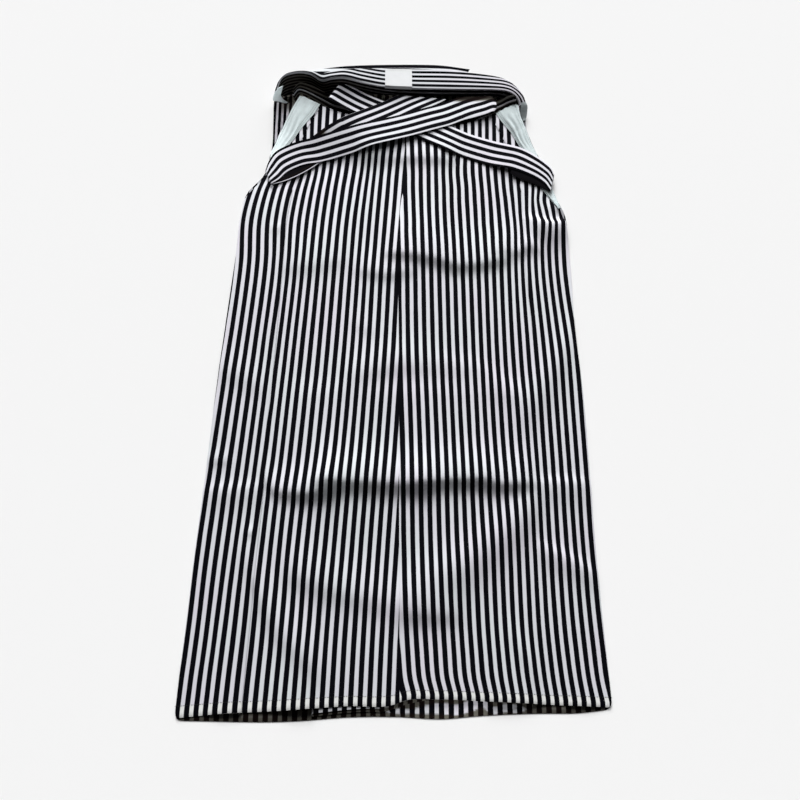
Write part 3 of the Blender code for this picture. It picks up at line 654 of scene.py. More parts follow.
# %% Sweep the ties
RIGHT_TIE_MAIN = table(
    "x y heading above width",
    (153, 922, 93, 5.6, 13), (146, 923.5, 95, 7.2, 30), (134, 922, 98, 7, 34), (121, 921, 101, 6.6, 38),
    (108, 919.5, 103, 6.2, 42), (95, 916.5, 104, 6, FULL), (72, 906.5, 105, 6.2, FULL),
    (47, 897, 106, 8.3, FULL), (14, 885, 106, 9.2, FULL), (-28, 871, 106, 10.4, FULL),
    (-60, 860, 106, 10.2, FULL), (-85, 852, 106, 8, FULL), (-126, 841, 104, 5.1, FULL),
    (-156, 835, 106, 5.1, FULL), (-183, 821, 116, 5.1, 42), (-195.5, 804.5, 118, 5.1, 37),
    (-203.5, 792, 112, 5.1, 27),
)
RIGHT_TIE_RETURN = table(
    "x y heading above width",
    (-203.5, 792, 112, 3.2, 28), (-186, 803.5, 118, 3.2, 40), (-160, 819.5, 121, 3, FULL),
    (-126, 845, 121, 2.9, FULL), (-105, 858, 121, 5.2, FULL), (-82, 871, 121, 8, FULL),
    (-51, 889, 121, 8.2, FULL), (-15, 910, 122, 7.6, FULL), (12, 926, 135, 7, 44), (25, 933, 155, 5.5, 52),
    (38, 941, 175, 3, 72),
)
LEFT_TIE_MAIN = table(
    "x y heading above width",
    (-103, 937, 60, 12, 38), (-99, 936, 60, 13, 41), (-87, 932, 61, 9.5, FULL), (-66, 924, 62, 6, FULL),
    (-40, 914, 63, 4.8, FULL), (-6, 902, 64, 4.2, FULL), (28, 888, 62, 3.8, FULL), (62, 871, 64, 3.5, FULL),
    (84, 860, 66, 2.7, FULL), (104, 851, 67, 1.9, FULL), (140, 838, 70, 2.2, FULL), (162, 831, 68, 4.6, FULL),
    (178, 827, 66, 5.1, 42), (192, 821, 63, 5.1, 40), (208, 811.5, 61, 5.1, 36), (219, 803.5, 63, 5.1, 33),
    (229, 793.5, 69, 5.1, 32), (235, 781.5, 78, 4.6, 33),
)
LEFT_TIE_RETURN = table(
    "x y heading above width",
    (235, 781.5, 78, 3.2, 33), (229, 787, 71, 3.2, 35), (216, 797, 62, 3.2, 39), (198, 807, 60, 3.2, FULL),
    (180, 819, 64, 3.2, FULL),
)
ACROSS_TIE = np.linspace(-0.5, 0.5, 17)  # from its low edge to its top edge
STRAIGHT_CLOSENESS = 1.06  # how many times closer the stripes lie where a tie lies straight
UNLIT, PAINTED_SHADOW_X, PAINTED_SHADOW_Y = 1.9, (78, 98), (928, 935)  # painted shadow on a tie's top edge, this dark, where it slips into the waist's shade
PAINTED_UNDERSIDE, PAINTED_UNDERSIDE_X = 2.8, (112, 130)  # painted shade on the ties' ways back, which lie under themselves, this far from the middle


def front_surface(x, y):
    """Height of the front's upper face where it lies on pleat layers."""
    return lowest_layer(x, y) + 2 * STEP + CLOTH / 2


def tie_rows(stretch):
    x, y, heading, above, width = along(stretch, STEPS).T[..., None]
    px = x + ACROSS_TIE * width * np.cos(np.radians(heading))
    py = y + ACROSS_TIE * width * np.sin(np.radians(heading))
    return np.stack([px, py, front_surface(px, py) + above], -1)


def make_tie(name, main, back, main_stripe, back_stripe, straight_from=None, tucked=0, slide=0.0, lit_edge=0):
    """A tie that turns under itself; each stretch has its first pale line this far from its top edge.

    Past straight_from the way back lies straight, and its stripes run on to a slanted end. Up to the station
    tucked, the edges are tucked under instead of drawn together, and the middle has slid by up to slide. The
    way back is painted in shade far from the middle, apart from its first lit_edge columns, which peep out
    from below; a tie's top edge is painted in shadow where it slips into the waist's shade."""
    top, under = tie_rows(main), tie_rows(back)
    ahead = top[-1] - top[-2]
    ahead /= np.linalg.norm(ahead, axis=1)[:, None]
    turn = (top[-1] + under[0]) / 2 + ahead * (BAND + GAP) / 2
    grid = np.concatenate([top, [turn], under])
    row = np.arange(len(grid))[:, None]
    across = FULL * (0.5 - ACROSS_TIE) - np.where(row < len(top), main_stripe, back_stripe)
    tuck = 1 - np.minimum(row / max(tucked * STEPS, 1), 1)
    width = np.linalg.norm(grid[:, -1] - grid[:, 0], axis=1)[:, None]
    as_laid = FULL / 2 - width * ACROSS_TIE + slide * tuck - main_stripe
    across = np.where(tuck > 0, as_laid, across)
    if straight_from is not None:
        start, end = ((back["x"][i], back["y"][i]) for i in (straight_from, -3))
        heading = math.atan2(end[1] - start[1], end[0] - start[0])
        off = (grid[..., 1] - start[1]) * math.cos(heading) - (grid[..., 0] - start[0]) * math.sin(heading)
        own = row >= len(grid) - 1 - STEPS * (len(back["x"]) - 1 - straight_from)
        across = np.where(own, FULL / 2 - off * STRAIGHT_CLOSENESS - back_stripe, across)
    # painted shadow on the tie's top edge near the waist
    painted_shadow = UNLIT * ease(grid[..., 1], *PAINTED_SHADOW_Y) * ease(grid[..., 0], *PAINTED_SHADOW_X)
    # painted shade on the way back, far from the middle
    below = PAINTED_UNDERSIDE * ease(np.abs(grid[..., 0]), *PAINTED_UNDERSIDE_X) * (row > len(top))
    below[:, :lit_edge] = 0
    return strip(name, grid, BAND, across, np.maximum(painted_shadow, below))


front_tie_right = make_tie(
    "striped_front_tie_right", RIGHT_TIE_MAIN, RIGHT_TIE_RETURN, 7.0, 8.4,
    straight_from=5, tucked=5, slide=12.5, lit_edge=2,
)
front_tie_left = make_tie("striped_front_tie_left", LEFT_TIE_MAIN, LEFT_TIE_RETURN, 1.2, 10.4)

# %% Lay the back ties behind the waistband
BACK_TIE_LEFT = table(
    "ax ay az bx by bz",
    (-168, 962, 6.2, -168, 990, 8.5), (-128, 962, 6.2, -128, 998, 9), (-80, 962, 6.2, -80, 1004, 9.5),
    (0, 963, 6.2, 0, 1006, 9.8), (60, 962, 6.2, 62, 1005, 9.6), (92, 960, 6.2, 113, 997, 9.6),
)
BACK_TIE_RIGHT = table(
    "ax ay az bx by bz",
    (168, 953, 3, 171, 966, 3), (140, 958, 3, 141, 976, 3), (60, 960, 3, 60, 981, 3),
    (-60, 961, 3, -60, 982, 3), (-150, 961, 3, -150, 982, 3),
)
BACK_TIE_COLUMNS = 13


def edged_grid(stations, steps, columns):
    """A grid between two edges, a and b."""
    a, b = np.split(along(stations, steps)[:, None], 2, axis=2)
    return a + (b - a) * np.linspace(0, 1, columns)[:, None]


left_end, right_end = (edged_grid(rows, STEPS, BACK_TIE_COLUMNS) for rows in (BACK_TIE_LEFT, BACK_TIE_RIGHT))
back_tie_left = strip("striped_back_tie_left", left_end, BAND, across=2.0)
back_tie_right = strip("striped_back_tie_right", right_end, 2 * BAND, across=6.0)

# %% [markdown]
# ## Facing tapes and the label
# The slanted edges at the side vents are bound with a pale tape, and a small cloth label is sewn inside the
# back waistband; it is left bare here. The front tapes and the label follow the points of the cloth they are
# sewn to, moved out by their own thickness, so they can't sink into it. The short back tapes curl up beside
# the waistband, each between two edges of its own.

# %% Sew on the tapes
TAPE, TAPE_CLEAR = 1.0, 0.7  # a tape's thickness, and the air below it
LEFT_TAPE = table(
    "y outer inner",
    (940, 159, 126), (917, 171, 136), (895, 181, 149), (868, 193, 165), (843, 202, 183), (818, 205, 190),
)
RIGHT_TAPE = table(
    "y outer inner",
    (940, 188, 151), (918, 192, 160), (888, 201, 175), (865, 207, 184), (843, 215, 195), (800, 226, 209),
    (770, 237, 221), (752, 242.5, 233), (736, 246, 242),
)
LEFT_BACK_TAPE = table(
    "ax ay az bx by bz",
    (-183, 935, 3.6, -179, 937, 3.6), (-188, 933, 8, -182, 935, 9), (-194, 931, 13, -185, 933, 15),
    (-200, 929, 17, -187.5, 932, 22), (-202, 929, 20, -188.5, 932, 28), (-200, 930, 29, -187, 932, 34),
    (-196, 930, 38, -185, 933, 41), (-191, 931, 46, -183, 934, 48),
)
RIGHT_BACK_TAPE = table(
    "ax ay az bx by bz",
    (200, 903, 2, 196, 902, 2), (202, 909, 2.4, 193, 907, 2.4), (203, 917, 6, 192, 914, 7),
    (203, 923, 12, 192, 920, 14), (200, 929, 15, 193, 926, 17),
)
TAPE_ACROSS = np.linspace(0, 1, 25)
TAPE_ROW = 4.0  # from one row of points to the next
TAPE_WAVES, SEWN_DOWN = 3.4, (0.04, 0.22)  # lengthwise puckers across a tape, and its flat share at each edge


def puckers(lengthwise, height):
    """Uneven lengthwise puckers, flat where the tape is sewn down at its two edges."""
    drift = 0.9 * math.sin(lengthwise / 19) + 0.5 * math.sin(lengthwise / 7.3 + 1)
    wave = np.sin(2 * math.pi * TAPE_WAVES * TAPE_ACROSS + drift) * math.cos(lengthwise / 26 + 0.4)
    loose = ease(TAPE_ACROSS, *SEWN_DOWN) * ease(1 - TAPE_ACROSS, *SEWN_DOWN)
    return height * (0.5 + 0.5 * wave) * loose


def tape_grid(side, sign, stations, pucker):
    """Points along a slanted front edge, from the tape's inner edge out to the cloth's edge."""
    grid = []
    for y in np.arange(stations["y"].max(), stations["y"].min() - 0.1, -TAPE_ROW):
        inner, outward = (float(np.interp(-y, -stations["y"], stations[key])) for key in ("inner", "outer"))
        u = np.linspace(inner, outward, len(TAPE_ACROSS))
        own_y = panel_y(y, sign * u)
        up = 2 * ease(u, *side_rise(float(read(side, "edge", y)), float(read(side, "outer", y))))
        z = lowest_layer(sign * u, own_y) + STEP * up + CLOTH / 2 + TAPE_CLEAR + TAPE / 2
        grid.append(np.column_stack([sign * u, own_y, z + puckers(y, pucker)]))
    return np.array(grid)


left_tape_grid = tape_grid(LEFT_SIDE, -1, LEFT_TAPE, 1.2)
right_tape_grid = tape_grid(RIGHT_SIDE, 1, RIGHT_TAPE, 2.2)
front_facing_left = strip("pale_front_facing_left", left_tape_grid, TAPE)
front_facing_right = strip("pale_front_facing_right", right_tape_grid, TAPE)
# painted light on the left back tape, as if it faced the light, and painted half shade on the right one
left_turn, right_turn = (edged_grid(rows, steps=6, columns=7) for rows in (LEFT_BACK_TAPE, RIGHT_BACK_TAPE))
back_facing_left = strip("pale_back_facing_left", left_turn, TAPE, painted_shade=-0.3)
back_facing_right = strip("pale_back_facing_right", right_turn, TAPE, painted_shade=0.25)

# %% Sew on the bare label
LABEL_FROM, LABEL_TO = 10, 11  # between these stations of the back waistband
LABEL_SHARES = np.linspace(0.76, 1.9, 14)  # over the band's ridge

label_grid = band_grid(BACK_BAND, LABEL_SHARES)
outward = np.cross(np.gradient(label_grid, axis=0), np.gradient(label_grid, axis=1))
outward /= np.linalg.norm(outward, axis=2)[..., None]
outward *= np.sign(outward[..., 2:3])
label_grid = label_grid + outward * (BAND / 2 + TAPE_CLEAR + TAPE / 2)
label_grid = label_grid[LABEL_FROM * STEPS : LABEL_TO * STEPS + 1]
size_label = strip("bare_size_label", label_grid, TAPE)

# %% [markdown]
# ## Striped cloth
# The cloth is woven from black and undyed threads, so a stripe has no printed edge: it is a count of pale
# warp threads beside a count of dark ones. Two shader groups serve every striped piece. One reads the grain
# and says how pale the warp is there; the other gives the small over-and-under of the weave as a height.

# %% Helpers for node trees
def feed(tree, node, inputs):
    """Gives a node its inputs, by name or number: values, or other nodes' outputs."""
    for socket, value in dict(inputs).items():
        if isinstance(value, bpy.types.NodeSocket):
            tree.links.new(value, node.inputs[socket])
        else:
            node.inputs[socket].default_value = value


def add_node(tree, kind, inputs=(), **settings):
    node = tree.nodes.new(kind)
    for setting, value in settings.items():
        setattr(node, setting, value)
    feed(tree, node, inputs)
    return node


def new_group(name, kind, inputs, outputs):
    """A node group with named sockets, what it takes and the node that gives its outputs."""
    group = bpy.data.node_groups.new(name, kind)
    for socket, value_kind, *value in inputs:
        made = group.interface.new_socket(socket, in_out="INPUT", socket_type="NodeSocket" + value_kind)
        if value:
            made.default_value = value[0]
    for socket, value_kind in outputs:
        group.interface.new_socket(socket, in_out="OUTPUT", socket_type="NodeSocket" + value_kind)
    return group, group.nodes.new("NodeGroupInput").outputs, group.nodes.new("NodeGroupOutput")


def maths(tree, operation, *values, clamp=False):
    settings = {"operation": operation, "use_clamp": clamp}
    return add_node(tree, "ShaderNodeMath", enumerate(values), **settings).outputs[0]


def noise(tree, vector, scale, detail=2.0):
    inputs = {"Vector": vector, "Scale": scale, "Detail": detail}
    return add_node(tree, "ShaderNodeTexNoise", inputs).outputs["Fac"]


def split(tree, vector):
    return add_node(tree, "ShaderNodeSeparateXYZ", {0: vector}).outputs


def mixed(tree, factor, first, second, blend="MIX"):
    """A mix of two colours."""
    inputs = {"Factor": factor, "A": first, "B": second}
    return add_node(tree, "ShaderNodeMix", inputs, data_type="RGBA", blend_type=blend).outputs["Result"]


# %% Shader groups: stripes and weave
STRAY = 0.9 * METRE  # how far a stripe's edges wander
STRIPES, takes, gives = new_group(
    "Woven stripes",
    "ShaderNodeTree",
    [
        ("Grain", "Vector"), ("Pitch", "Float", PITCH * METRE), ("Pale width", "Float", 5.2 * METRE),
        ("Soft edge", "Float", 0.5 * METRE),
    ],
    [("Pale", "Float"), ("Thread", "Float")],
)
work_out = partial(maths, STRIPES)
across, lengthwise, _ = split(STRIPES, takes["Grain"])


def streaks(closeness, scale, detail=2.0):
    """Noise that is drawn out along the warp, this many times closer across it."""
    drawn_out = {0: work_out("MULTIPLY", across, closeness), 1: lengthwise}
    return noise(STRIPES, add_node(STRIPES, "ShaderNodeCombineXYZ", drawn_out).outputs[0], scale, detail)


wander = work_out("SUBTRACT", streaks(9.0, 16.0), 0.5)
place = work_out("ADD", across, work_out("MULTIPLY", wander, STRAY))
turned = work_out("PINGPONG", place, work_out("MULTIPLY", takes["Pitch"], 0.5))
inside = work_out("SUBTRACT", work_out("MULTIPLY", takes["Pale width"], 0.5), turned)
pale = work_out("ADD", work_out("DIVIDE", inside, takes["Soft edge"]), 0.5, clamp=True)
feed(STRIPES, gives, {"Pale": pale, "Thread": streaks(60.0, 45.0, 3.0)})

WEAVE, takes, gives = new_group(
    "Twill weave",
    "ShaderNodeTree",
    [("Grain", "Vector"), ("Thread spacing", "Float", 0.45 * METRE)],
    [("Height", "Float")],
)
work_out = partial(maths, WEAVE)
warp, weft = (work_out("DIVIDE", way, takes["Thread spacing"]) for way in split(WEAVE, takes["Grain"])[:2])
over = work_out("SINE", work_out("MULTIPLY", work_out("ADD", warp, weft), math.pi))
warp_round = work_out("SINE", work_out("MULTIPLY", warp, 2 * math.pi))
height = work_out("MULTIPLY_ADD", warp_round, 0.25, work_out("MULTIPLY_ADD", over, 0.25, 0.5))
feed(WEAVE, gives, {"Height": height})
print("shader groups:", STRIPES.name, WEAVE.name)

# %% Striped and pale cloth, with painted shade
DARK_THREAD, PALE_THREAD = (0.0018, 0.0018, 0.0032, 1), (0.555, 0.58, 0.60, 1)
WARM_PALE = (0.565, 0.545, 0.60, 1)  # the pale yarn where it leans to lilac
# the dark and pale yarn where shade is painted on the cloth
PAINTED_SHADE_DARK, PAINTED_SHADE_PALE = (0.006, 0.0035, 0.003, 1), (0.105, 0.10, 0.085, 1)
PAINTED_SHADE_DEPTH = 0.7  # how much painted shade darkens a plain tone
HEM_PALE, HEM_DEPTH = (0.655, 0.66, 0.65, 1), 12.0 * METRE
WEAVE_DEPTH, WEAVE_STRENGTH, ROUGHNESS_VARIES = 0.12 * METRE, 0.35, 0.06


def new_material(name):
    material = bpy.data.materials.new(name)
    material.use_nodes = True
    return material, material.node_tree, material.node_tree.nodes["Principled BSDF"]


def striped_colour(tree, stripes, grain, inner, patch, hem):
    """Pale and dark warp, with painted shade that dims the pale yarn and then both; hem pales the turned-up
    hem.
    """
    yarn = mixed(tree, patch, PALE_THREAD, WARM_PALE)
    if hem:
        yarn = mixed(tree, maths(tree, "LESS_THAN", split(tree, grain)[1], HEM_DEPTH), yarn, HEM_PALE)
    warp = mixed(tree, inner, DARK_THREAD, PAINTED_SHADE_DARK)
    yarn = mixed(tree, inner, yarn, PAINTED_SHADE_PALE)
    yarn = mixed(tree, maths(tree, "SUBTRACT", inner, 1.0, clamp=True), yarn, PAINTED_SHADE_DARK)
    colour = mixed(tree, stripes.outputs["Pale"], warp, yarn)
    return mixed(tree, maths(tree, "SUBTRACT", inner, 2.0, clamp=True), colour, DARK_THREAD)


def plain_colour(tree, tone, uneven, place, inner, patch):
    """One tone with uneven fibres; painted shade darkens it, and a value below 0 paints it lighter."""
    patch = maths(tree, "MULTIPLY_ADD", patch, -uneven, 1 - uneven)
    shade = maths(tree, "MULTIPLY_ADD", noise(tree, place, 95.0, 3.0), 3 * uneven, patch)
    shade = maths(tree, "MULTIPLY", shade, maths(tree, "MULTIPLY_ADD", inner, -PAINTED_SHADE_DEPTH, 1.0))
    return mixed(tree, 1.0, tone, shade, "MULTIPLY")


def cloth_material(name, roughness, tone=None, sheen=0.0, uneven=0.1, hem=False):
    """A woven finish: stripes, or one tone, with threads that vary and a twill's height."""
    material, tree, shader = new_material(name)
    grain = add_node(tree, "ShaderNodeUVMap", uv_map="Grain").outputs[0]
    stripes = add_node(tree, "ShaderNodeGroup", node_tree=STRIPES)
    weave = add_node(tree, "ShaderNodeGroup", node_tree=WEAVE)
    for node in (stripes, weave):
        feed(tree, node, {"Grain": grain})
    place = add_node(tree, "ShaderNodeTexCoord").outputs["Object"]
    patch = maths(tree, "MULTIPLY_ADD", noise(tree, place, 9.0, 1.0), 3.0, -1.0, clamp=True)
    # painted shade of each piece, from its mesh attribute
    inner = add_node(tree, "ShaderNodeAttribute", attribute_name="Painted shade").outputs["Fac"]
    if tone is None:
        colour = striped_colour(tree, stripes, grain, inner, patch, hem)
    else:
        colour = plain_colour(tree, tone, uneven, place, inner, patch)
    thread = stripes.outputs["Thread"]
    thread_tone = maths(tree, "MULTIPLY_ADD", thread, 2 * uneven, 1 - uneven)
    bump = {"Distance": WEAVE_DEPTH, "Strength": WEAVE_STRENGTH, "Height": weave.outputs["Height"]}
    feed(tree, shader, {
        "Base Color": mixed(tree, 1.0, colour, thread_tone, "MULTIPLY"),
        "Normal": add_node(tree, "ShaderNodeBump", bump).outputs["Normal"],
        "Roughness": maths(tree, "MULTIPLY_ADD", thread, 2 * ROUGHNESS_VARIES, roughness - ROUGHNESS_VARIES),
        "Sheen Weight": sheen,
        "Sheen Roughness": 0.4,
        "Specular IOR Level": 0.02,
    })
    return material


leg_cloth = cloth_material("striped_leg_cloth", 0.8, hem=True)
CLOTHS = {  # by the first word of a piece's name: its finish, and the slot that a maker would change
    "striped": (cloth_material("striped_cloth", 0.8), "striped_cloth"),
    "pale": (cloth_material("pale_facing_cloth", 0.78, (0.66, 0.74, 0.75, 1), 0.05, 0.16), "facing_cloth"),
    "bare": (cloth_material("bare_label_cloth", 0.6, (0.62, 0.63, 0.64, 1), 0.03, 0.03), "label_cloth"),
}
PIECES = {  # under the name of the solid that each stands for, which is its own without the first word
    piece.name.split("_", 1)[1]: piece
    for piece in (
        front_left, front_right, back_left, back_right, gusset, front_waistband, back_waistband,
        front_tie_right, front_tie_left, back_tie_left, back_tie_right, front_facing_left, front_facing_right,
        back_facing_left, back_facing_right, size_label,
    )
}


def finish_of(piece):
    return CLOTHS[piece.name.split("_")[0]]


for piece in PIECES.values():
    piece.data.materials.append(leg_cloth if piece in (front_left, front_right) else finish_of(piece)[0])

# %% [markdown]
# ## Stitches
# Stitches hold the hems of the fronts, both edges of the front tapes and the ends of the label. Each could be
# a modelled thread, but they all follow one rule: a short rounded dash of thread, lying along its seam, a set
# space after the last. Geometry Nodes say that rule once. The seams are plain polylines, taken from the points
# of the cloth, and a fixed seed makes the dashes a little uneven, as a real thread is.

# %% Trace the seams
HEM_STITCH = 12.0  # from the hem's edge up to its stitches
THREAD_CLEAR = 0.12  # a stitch's middle above its cloth
TAPE_SEAMS, LABEL_SEAMS = (2, 4, -4), (1, -2)  # the columns of points that are sewn along


def hem_seam(*front):
    """The stretches of the hem's stitch line that show."""
    x, up, _, shown = front_section(*front, HEM_STITCH)
    y = panel_y(HEM_STITCH, x)
    points = np.column_stack([x, y, lowest_layer(x, y) + STEP * up + FRONT_WALL / 2 + THREAD_CLEAR])
    runs = np.flatnonzero(np.diff(np.concatenate([[0], shown.astype(int), [0]]))).reshape(-1, 2)
    return [points[start : end - 1] for start, end in runs if end - start > 2]


def tape_seam(grid, column):
    """A line along a tape, on its upper face."""
    faces = wall_about(grid, rounded_wall(grid, TAPE) + 2 * THREAD_CLEAR)
    return max(faces, key=lambda face: face[..., 2].mean())[:, column]


hem_seams = hem_seam(*LEFT_FRONT) + hem_seam(*RIGHT_FRONT)
facing_grids = (left_tape_grid, right_tape_grid)
facing_seams = [tape_seam(grid, column) for grid in facing_grids for column in TAPE_SEAMS]
label_seams = [tape_seam(label_grid, column) for column in LABEL_SEAMS]
print("seams:", len(hem_seams), "hem,", len(facing_seams), "facing,", len(label_seams), "label")

# %% One rule for every stitch
SHORT_DASH, LONG_DASH = 0.82, 1.12  # the least and the most of its stated length that a stitch has
STITCHES, given, gives = new_group(
    "Stitches along a seam",
    "GeometryNodeTree",
    [
        ("Geometry", "Geometry"), ("Spacing", "Float", 3.4 * METRE), ("Length", "Float", 2.8 * METRE),
        ("Thickness", "Float", 0.5 * METRE), ("Seed", "Int", 3), ("Thread", "Material"),
    ],
    [("Geometry", "Geometry")],
)
step = partial(add_node, STITCHES)
curve = step("GeometryNodeMeshToCurve", {"Mesh": given["Geometry"]}).outputs["Curve"]
spaced = {"Curve": curve, "Length": given["Spacing"]}
places = step("GeometryNodeCurveToPoints", spaced, mode="LENGTH").outputs
dash = step("GeometryNodeMeshUVSphere", {"Segments": 6, "Rings": 4, "Radius": 0.5}).outputs["Mesh"]
turn = step("FunctionNodeAlignRotationToVector", {"Vector": places["Tangent"]}, axis="X").outputs["Rotation"]
uneven = step("FunctionNodeRandomValue", {2: SHORT_DASH, 3: LONG_DASH, "Seed": given["Seed"]}).outputs[1]
size = {"X": maths(STITCHES, "MULTIPLY", uneven, given["Length"]), "Y": given["Thickness"]}
size = step("ShaderNodeCombineXYZ", {**size, "Z": given["Thickness"]}).outputs[0]
sewn = {"Points": places["Points"], "Instance": dash, "Rotation": turn, "Scale": size}
sewn = step("GeometryNodeInstanceOnPoints", sewn).outputs["Instances"]
plain = step("GeometryNodeRealizeInstances", {"Geometry": sewn}).outputs["Geometry"]
coloured = step("GeometryNodeSetMaterial", {"Geometry": plain, "Material": given["Thread"]})
feed(STITCHES, gives, {"Geometry": coloured.outputs["Geometry"]})
print("stitch tree:", len(STITCHES.nodes), "nodes")


# %% Sew along the seams
def sew(name, seams, thread, **sizes):
    """A plain mesh of stitches along these seams; sizes are in millimetres, under the tree's own names."""
    line = bpy.data.meshes.new(name)
    starts = np.cumsum([0] + [len(seam) for seam in seams])
    links = [(i, i + 1) for start, end in zip(starts, starts[1:]) for i in range(start, end - 1)]
    line.from_pydata(to_metres(np.vstack(seams)).tolist(), links, [])
    guide = placed(name + "_seam", line)
    modifier = guide.modifiers.new("Stitches", "NODES")
    modifier.node_group = STITCHES
    sockets = {item.name: item.identifier for item in STITCHES.interface.items_tree if item.in_out == "INPUT"}
    modifier[sockets["Thread"]] = thread
    for size_name, millimetres in sizes.items():
        modifier[sockets[size_name.capitalize()]] = millimetres * METRE
    evaluated = guide.evaluated_get(bpy.context.evaluated_depsgraph_get())
    data = bpy.data.meshes.new_from_object(evaluated)
    guide.modifiers.remove(modifier)
    bpy.data.objects.remove(guide)
    data.name = name
    data.shade_smooth()
    print(name, len(data.polygons), "faces")
    return placed(name, data)


def thread_material(name, colour):
    """Twisted sewing thread: a tone that varies along it over a fine twist."""
    material, tree, shader = new_material(name)
    place = add_node(tree, "ShaderNodeTexCoord").outputs["Object"]
    tone = maths(tree, "MULTIPLY_ADD", noise(tree, place, 600.0), 0.5, 0.75)
    twist = add_node(tree, "ShaderNodeBump", {"Distance": 0.1 * METRE, "Height": noise(tree, place, 2500.0)})
    colour = mixed(tree, 1.0, colour, tone, "MULTIPLY")
    feed(tree, shader, {"Base Color": colour, "Normal": twist.outputs["Normal"], "Roughness": 0.7})
    return material


dark_thread = thread_material("dark_hem_thread", (0.008, 0.008, 0.01, 1))
facing_thread = thread_material("grey_facing_thread", (0.20, 0.26, 0.26, 1))
label_thread = thread_material("pale_label_thread", (0.60, 0.61, 0.60, 1))
hem_stitches = sew("hem_stitches", hem_seams, dark_thread, spacing=3.4, length=3.0, thickness=0.5)
facing_stitches = sew("facing_stitches", facing_seams, facing_thread, spacing=3.0, length=2.5, thickness=0.45)
label_stitches = sew("label_stitches", label_seams, label_thread, spacing=3.2, length=2.4, thickness=0.5)

# %% [markdown]
# ## Which solid each piece stands for
# Every dressed piece takes the place of one imported solid, which it hides, and rides on the garment; the
# first word of its name picks its finish. The size each panel is cut to before it is pleated is listed and
# printed.

# %% Pieces to solids
for node, piece in PIECES.items():
    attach(piece, "root")
    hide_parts(node)
for stitches, cloth in ((hem_stitches, "striped"), (facing_stitches, "pale"), (label_stitches, "bare")):
    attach(stitches, "root")


def cut_area(piece):
    """Half the surface of a thin closed wall: the cloth it is made from, in square metres."""
    return sum(face.area for face in piece.data.polygons) / 2


# Each sheet's width across the stripes and length along them as it is cut, its area where the cut tapers, how
# it is held, what it lies on and the stitches that belong to it. A waistband or a tie is declared as the
# folded strip that shows.
SHEETS = {
    "front_left": (0.43, 0.94, 0.372, "laid", (back_left, gusset), [hem_stitches]),
    "front_right": (0.46, 0.94, 0.363, "laid", (back_right, front_left, gusset), []),
    "back_left": (0.287, 0.974, 0.248, "laid", ("table",), []),
    "back_right": (0.271, 0.97, 0.242, "laid", ("table",), []),
    "crotch_gusset": (0.508, 0.425, None, "folded", (back_left, back_right), []),
    "front_waistband": (0.026, 0.365, None, "folded", (front_left, front_right), []),
    "back_waistband": (0.066, 0.415, None, "folded", (back_left, back_right), []),
    "front_tie_right": (0.043, 0.675, None, "folded", (front_tie_left, front_left, front_right), []),
    "front_tie_left": (0.043, 0.46, None, "folded", (front_left, front_right), []),
    "back_tie_left": (0.042, 0.28, None, "folded", (back_tie_right,), []),
    "back_tie_right": (0.022, 0.335, None, "folded", ("table",), []),
    "front_facing_left": (0.034, 0.115, None, "laid", (front_left,), [facing_stitches]),
    "front_facing_right": (0.036, 0.205, 0.0047, "laid", (front_right,), []),
    "back_facing_left": (0.012, 0.042, None, "laid", (back_waistband,), []),
    "back_facing_right": (0.012, 0.032, None, "laid", (back_right,), []),
    "size_label": (0.044, 0.052, None, "laid", (back_waistband,), [label_stitches]),
}
for node, (width, length, area, held, laid_on, stitches) in SHEETS.items():
    piece = PIECES[node]
    print(node, "cut", width, "x", length, "m, cloth", round(cut_area(piece), 5), "m2")

# %% [markdown]
# ## Floor, light and camera
# The trousers lie on a pale floor under one large soft light from the far side, as on a cutting table by a
# window. The sky's light is kept off the pieces that show an inner face, because a real waist is darker inside
# than its thin model is. Small lamps stand for the light that pale walls throw back to the waist, the left
# vent and the hem.

# %% Floor
FLOOR_REACH = 6  # metres each way
floor_data = bpy.data.meshes.new("pale_floor")
corners = [(FLOOR_REACH * x, FLOOR_REACH * y, 0) for x, y in ((-1, -1), (1, -1), (1, 1), (-1, 1))]
floor_data.from_pydata(corners, [], [(0, 1, 2, 3)])
floor = placed("pale_floor", floor_data)
floor_finish, tree, shader = new_material("pale_floor")
feed(tree, shader, {"Base Color": (0.9, 0.9, 0.9, 1), "Roughness": 0.9})
floor_data.materials.append(floor_finish)

# %% Light
world = bpy.data.worlds.new("soft_room")
world.use_nodes = True
feed(world.node_tree, world.node_tree.nodes["Background"], {"Color": (1, 1, 1, 1), "Strength": 0.05})
bpy.context.scene.world = world


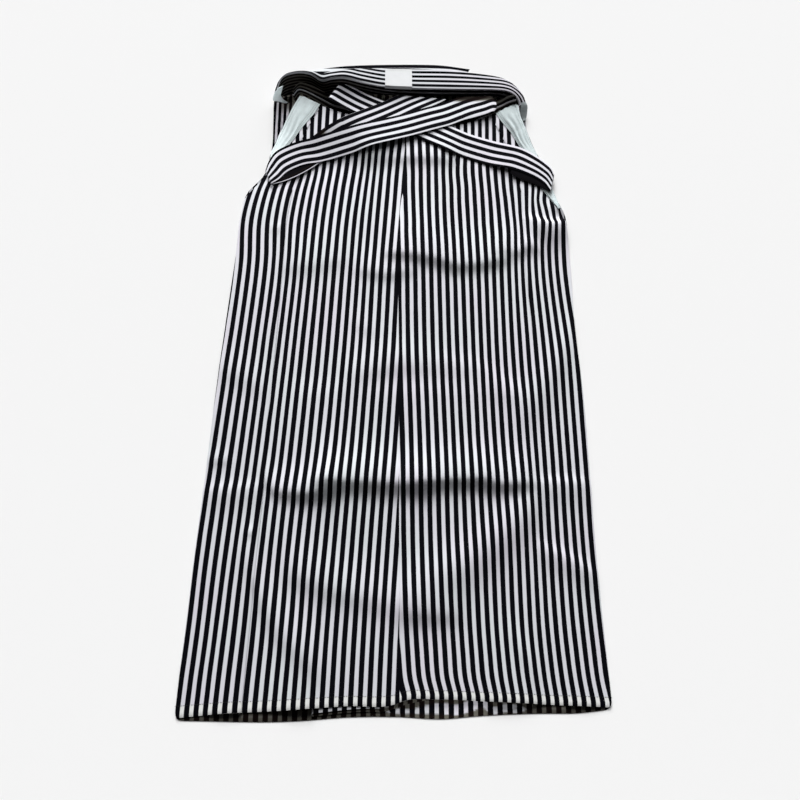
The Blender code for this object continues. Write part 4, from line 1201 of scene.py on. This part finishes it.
def light(name, kind, pieces=None, **settings):
    """A light with these settings, which falls on these pieces alone, or on everything."""
    data = bpy.data.lights.new(name, kind)
    for setting, value in settings.items():
        setattr(data, setting, value)
    made = placed(name, data)
    if pieces:
        made.light_linking.receiver_collection = bpy.data.collections.new("lit_by_" + name)
        for piece in pieces:
            made.light_linking.receiver_collection.objects.link(piece)
    return made


def sun(name, height, turn, spread, strength, pieces=None):
    """Parallel light from this many degrees above the table, turned from the far side, with a soft edge."""
    made = light(name, "SUN", pieces, angle=math.radians(spread), energy=strength)
    made.rotation_euler = (math.radians(height - 90), 0, math.radians(turn))


def lamp(name, place, target, size, strength, cone, pieces):
    """A soft round lamp that points at a target and lights a cone of this many degrees; places in metres."""
    made = light(name, "AREA", pieces, shape="DISK", size=size, energy=strength, spread=math.radians(cone))
    made.location = place
    made.rotation_euler = (Vector(target) - made.location).to_track_quat("-Z", "Y").to_euler()


SHELTERED = (back_left, back_right, gusset, back_waistband, front_waistband)  # the inner faces, left in shade
OPEN_PIECES = [piece for piece in PIECES.values() if piece not in SHELTERED]
STRIPED_OPEN = [piece for piece in OPEN_PIECES if piece.name.startswith("striped")]
ABOVE_WAIST = (0.0, 0.98, 0.72)
sun("window_light", 27, 5, 26, 3.95)
sun("sky_light", 42, 0, 84, 1.82, [*OPEN_PIECES, floor])
lamp("waist_lamp", ABOVE_WAIST, (0, 0.25, 0), 0.7, 7.0, 180, STRIPED_OPEN)
near_vent = (front_facing_left, back_facing_left, back_left, front_left, front_tie_left)
lamp("vent_lamp", (-0.32, 0.30, 0.26), (-0.145, 0.412, 0.02), 0.10, 0.085, 60, near_vent)
lamp("band_lamp", ABOVE_WAIST, (0, 0.45, 0), 0.7, 4.6, 180, [back_waistband])
lamp("hem_lamp", (0.075, -0.66, 0.12), (0.075, -0.503, 0.0), 0.08, 0.06, 60, [back_left, back_right, gusset])

# %% Camera
camera_data = bpy.data.cameras.new("camera")
camera_data.lens, camera_data.sensor_width = 47.97, 36.0
camera = placed("camera", camera_data)
camera.location = (0.008, -0.6407, 1.411)
camera.rotation_euler = (math.radians(22), 0, 0)
bpy.context.scene.camera = camera
bpy.context.scene.view_settings.view_transform = "Standard"
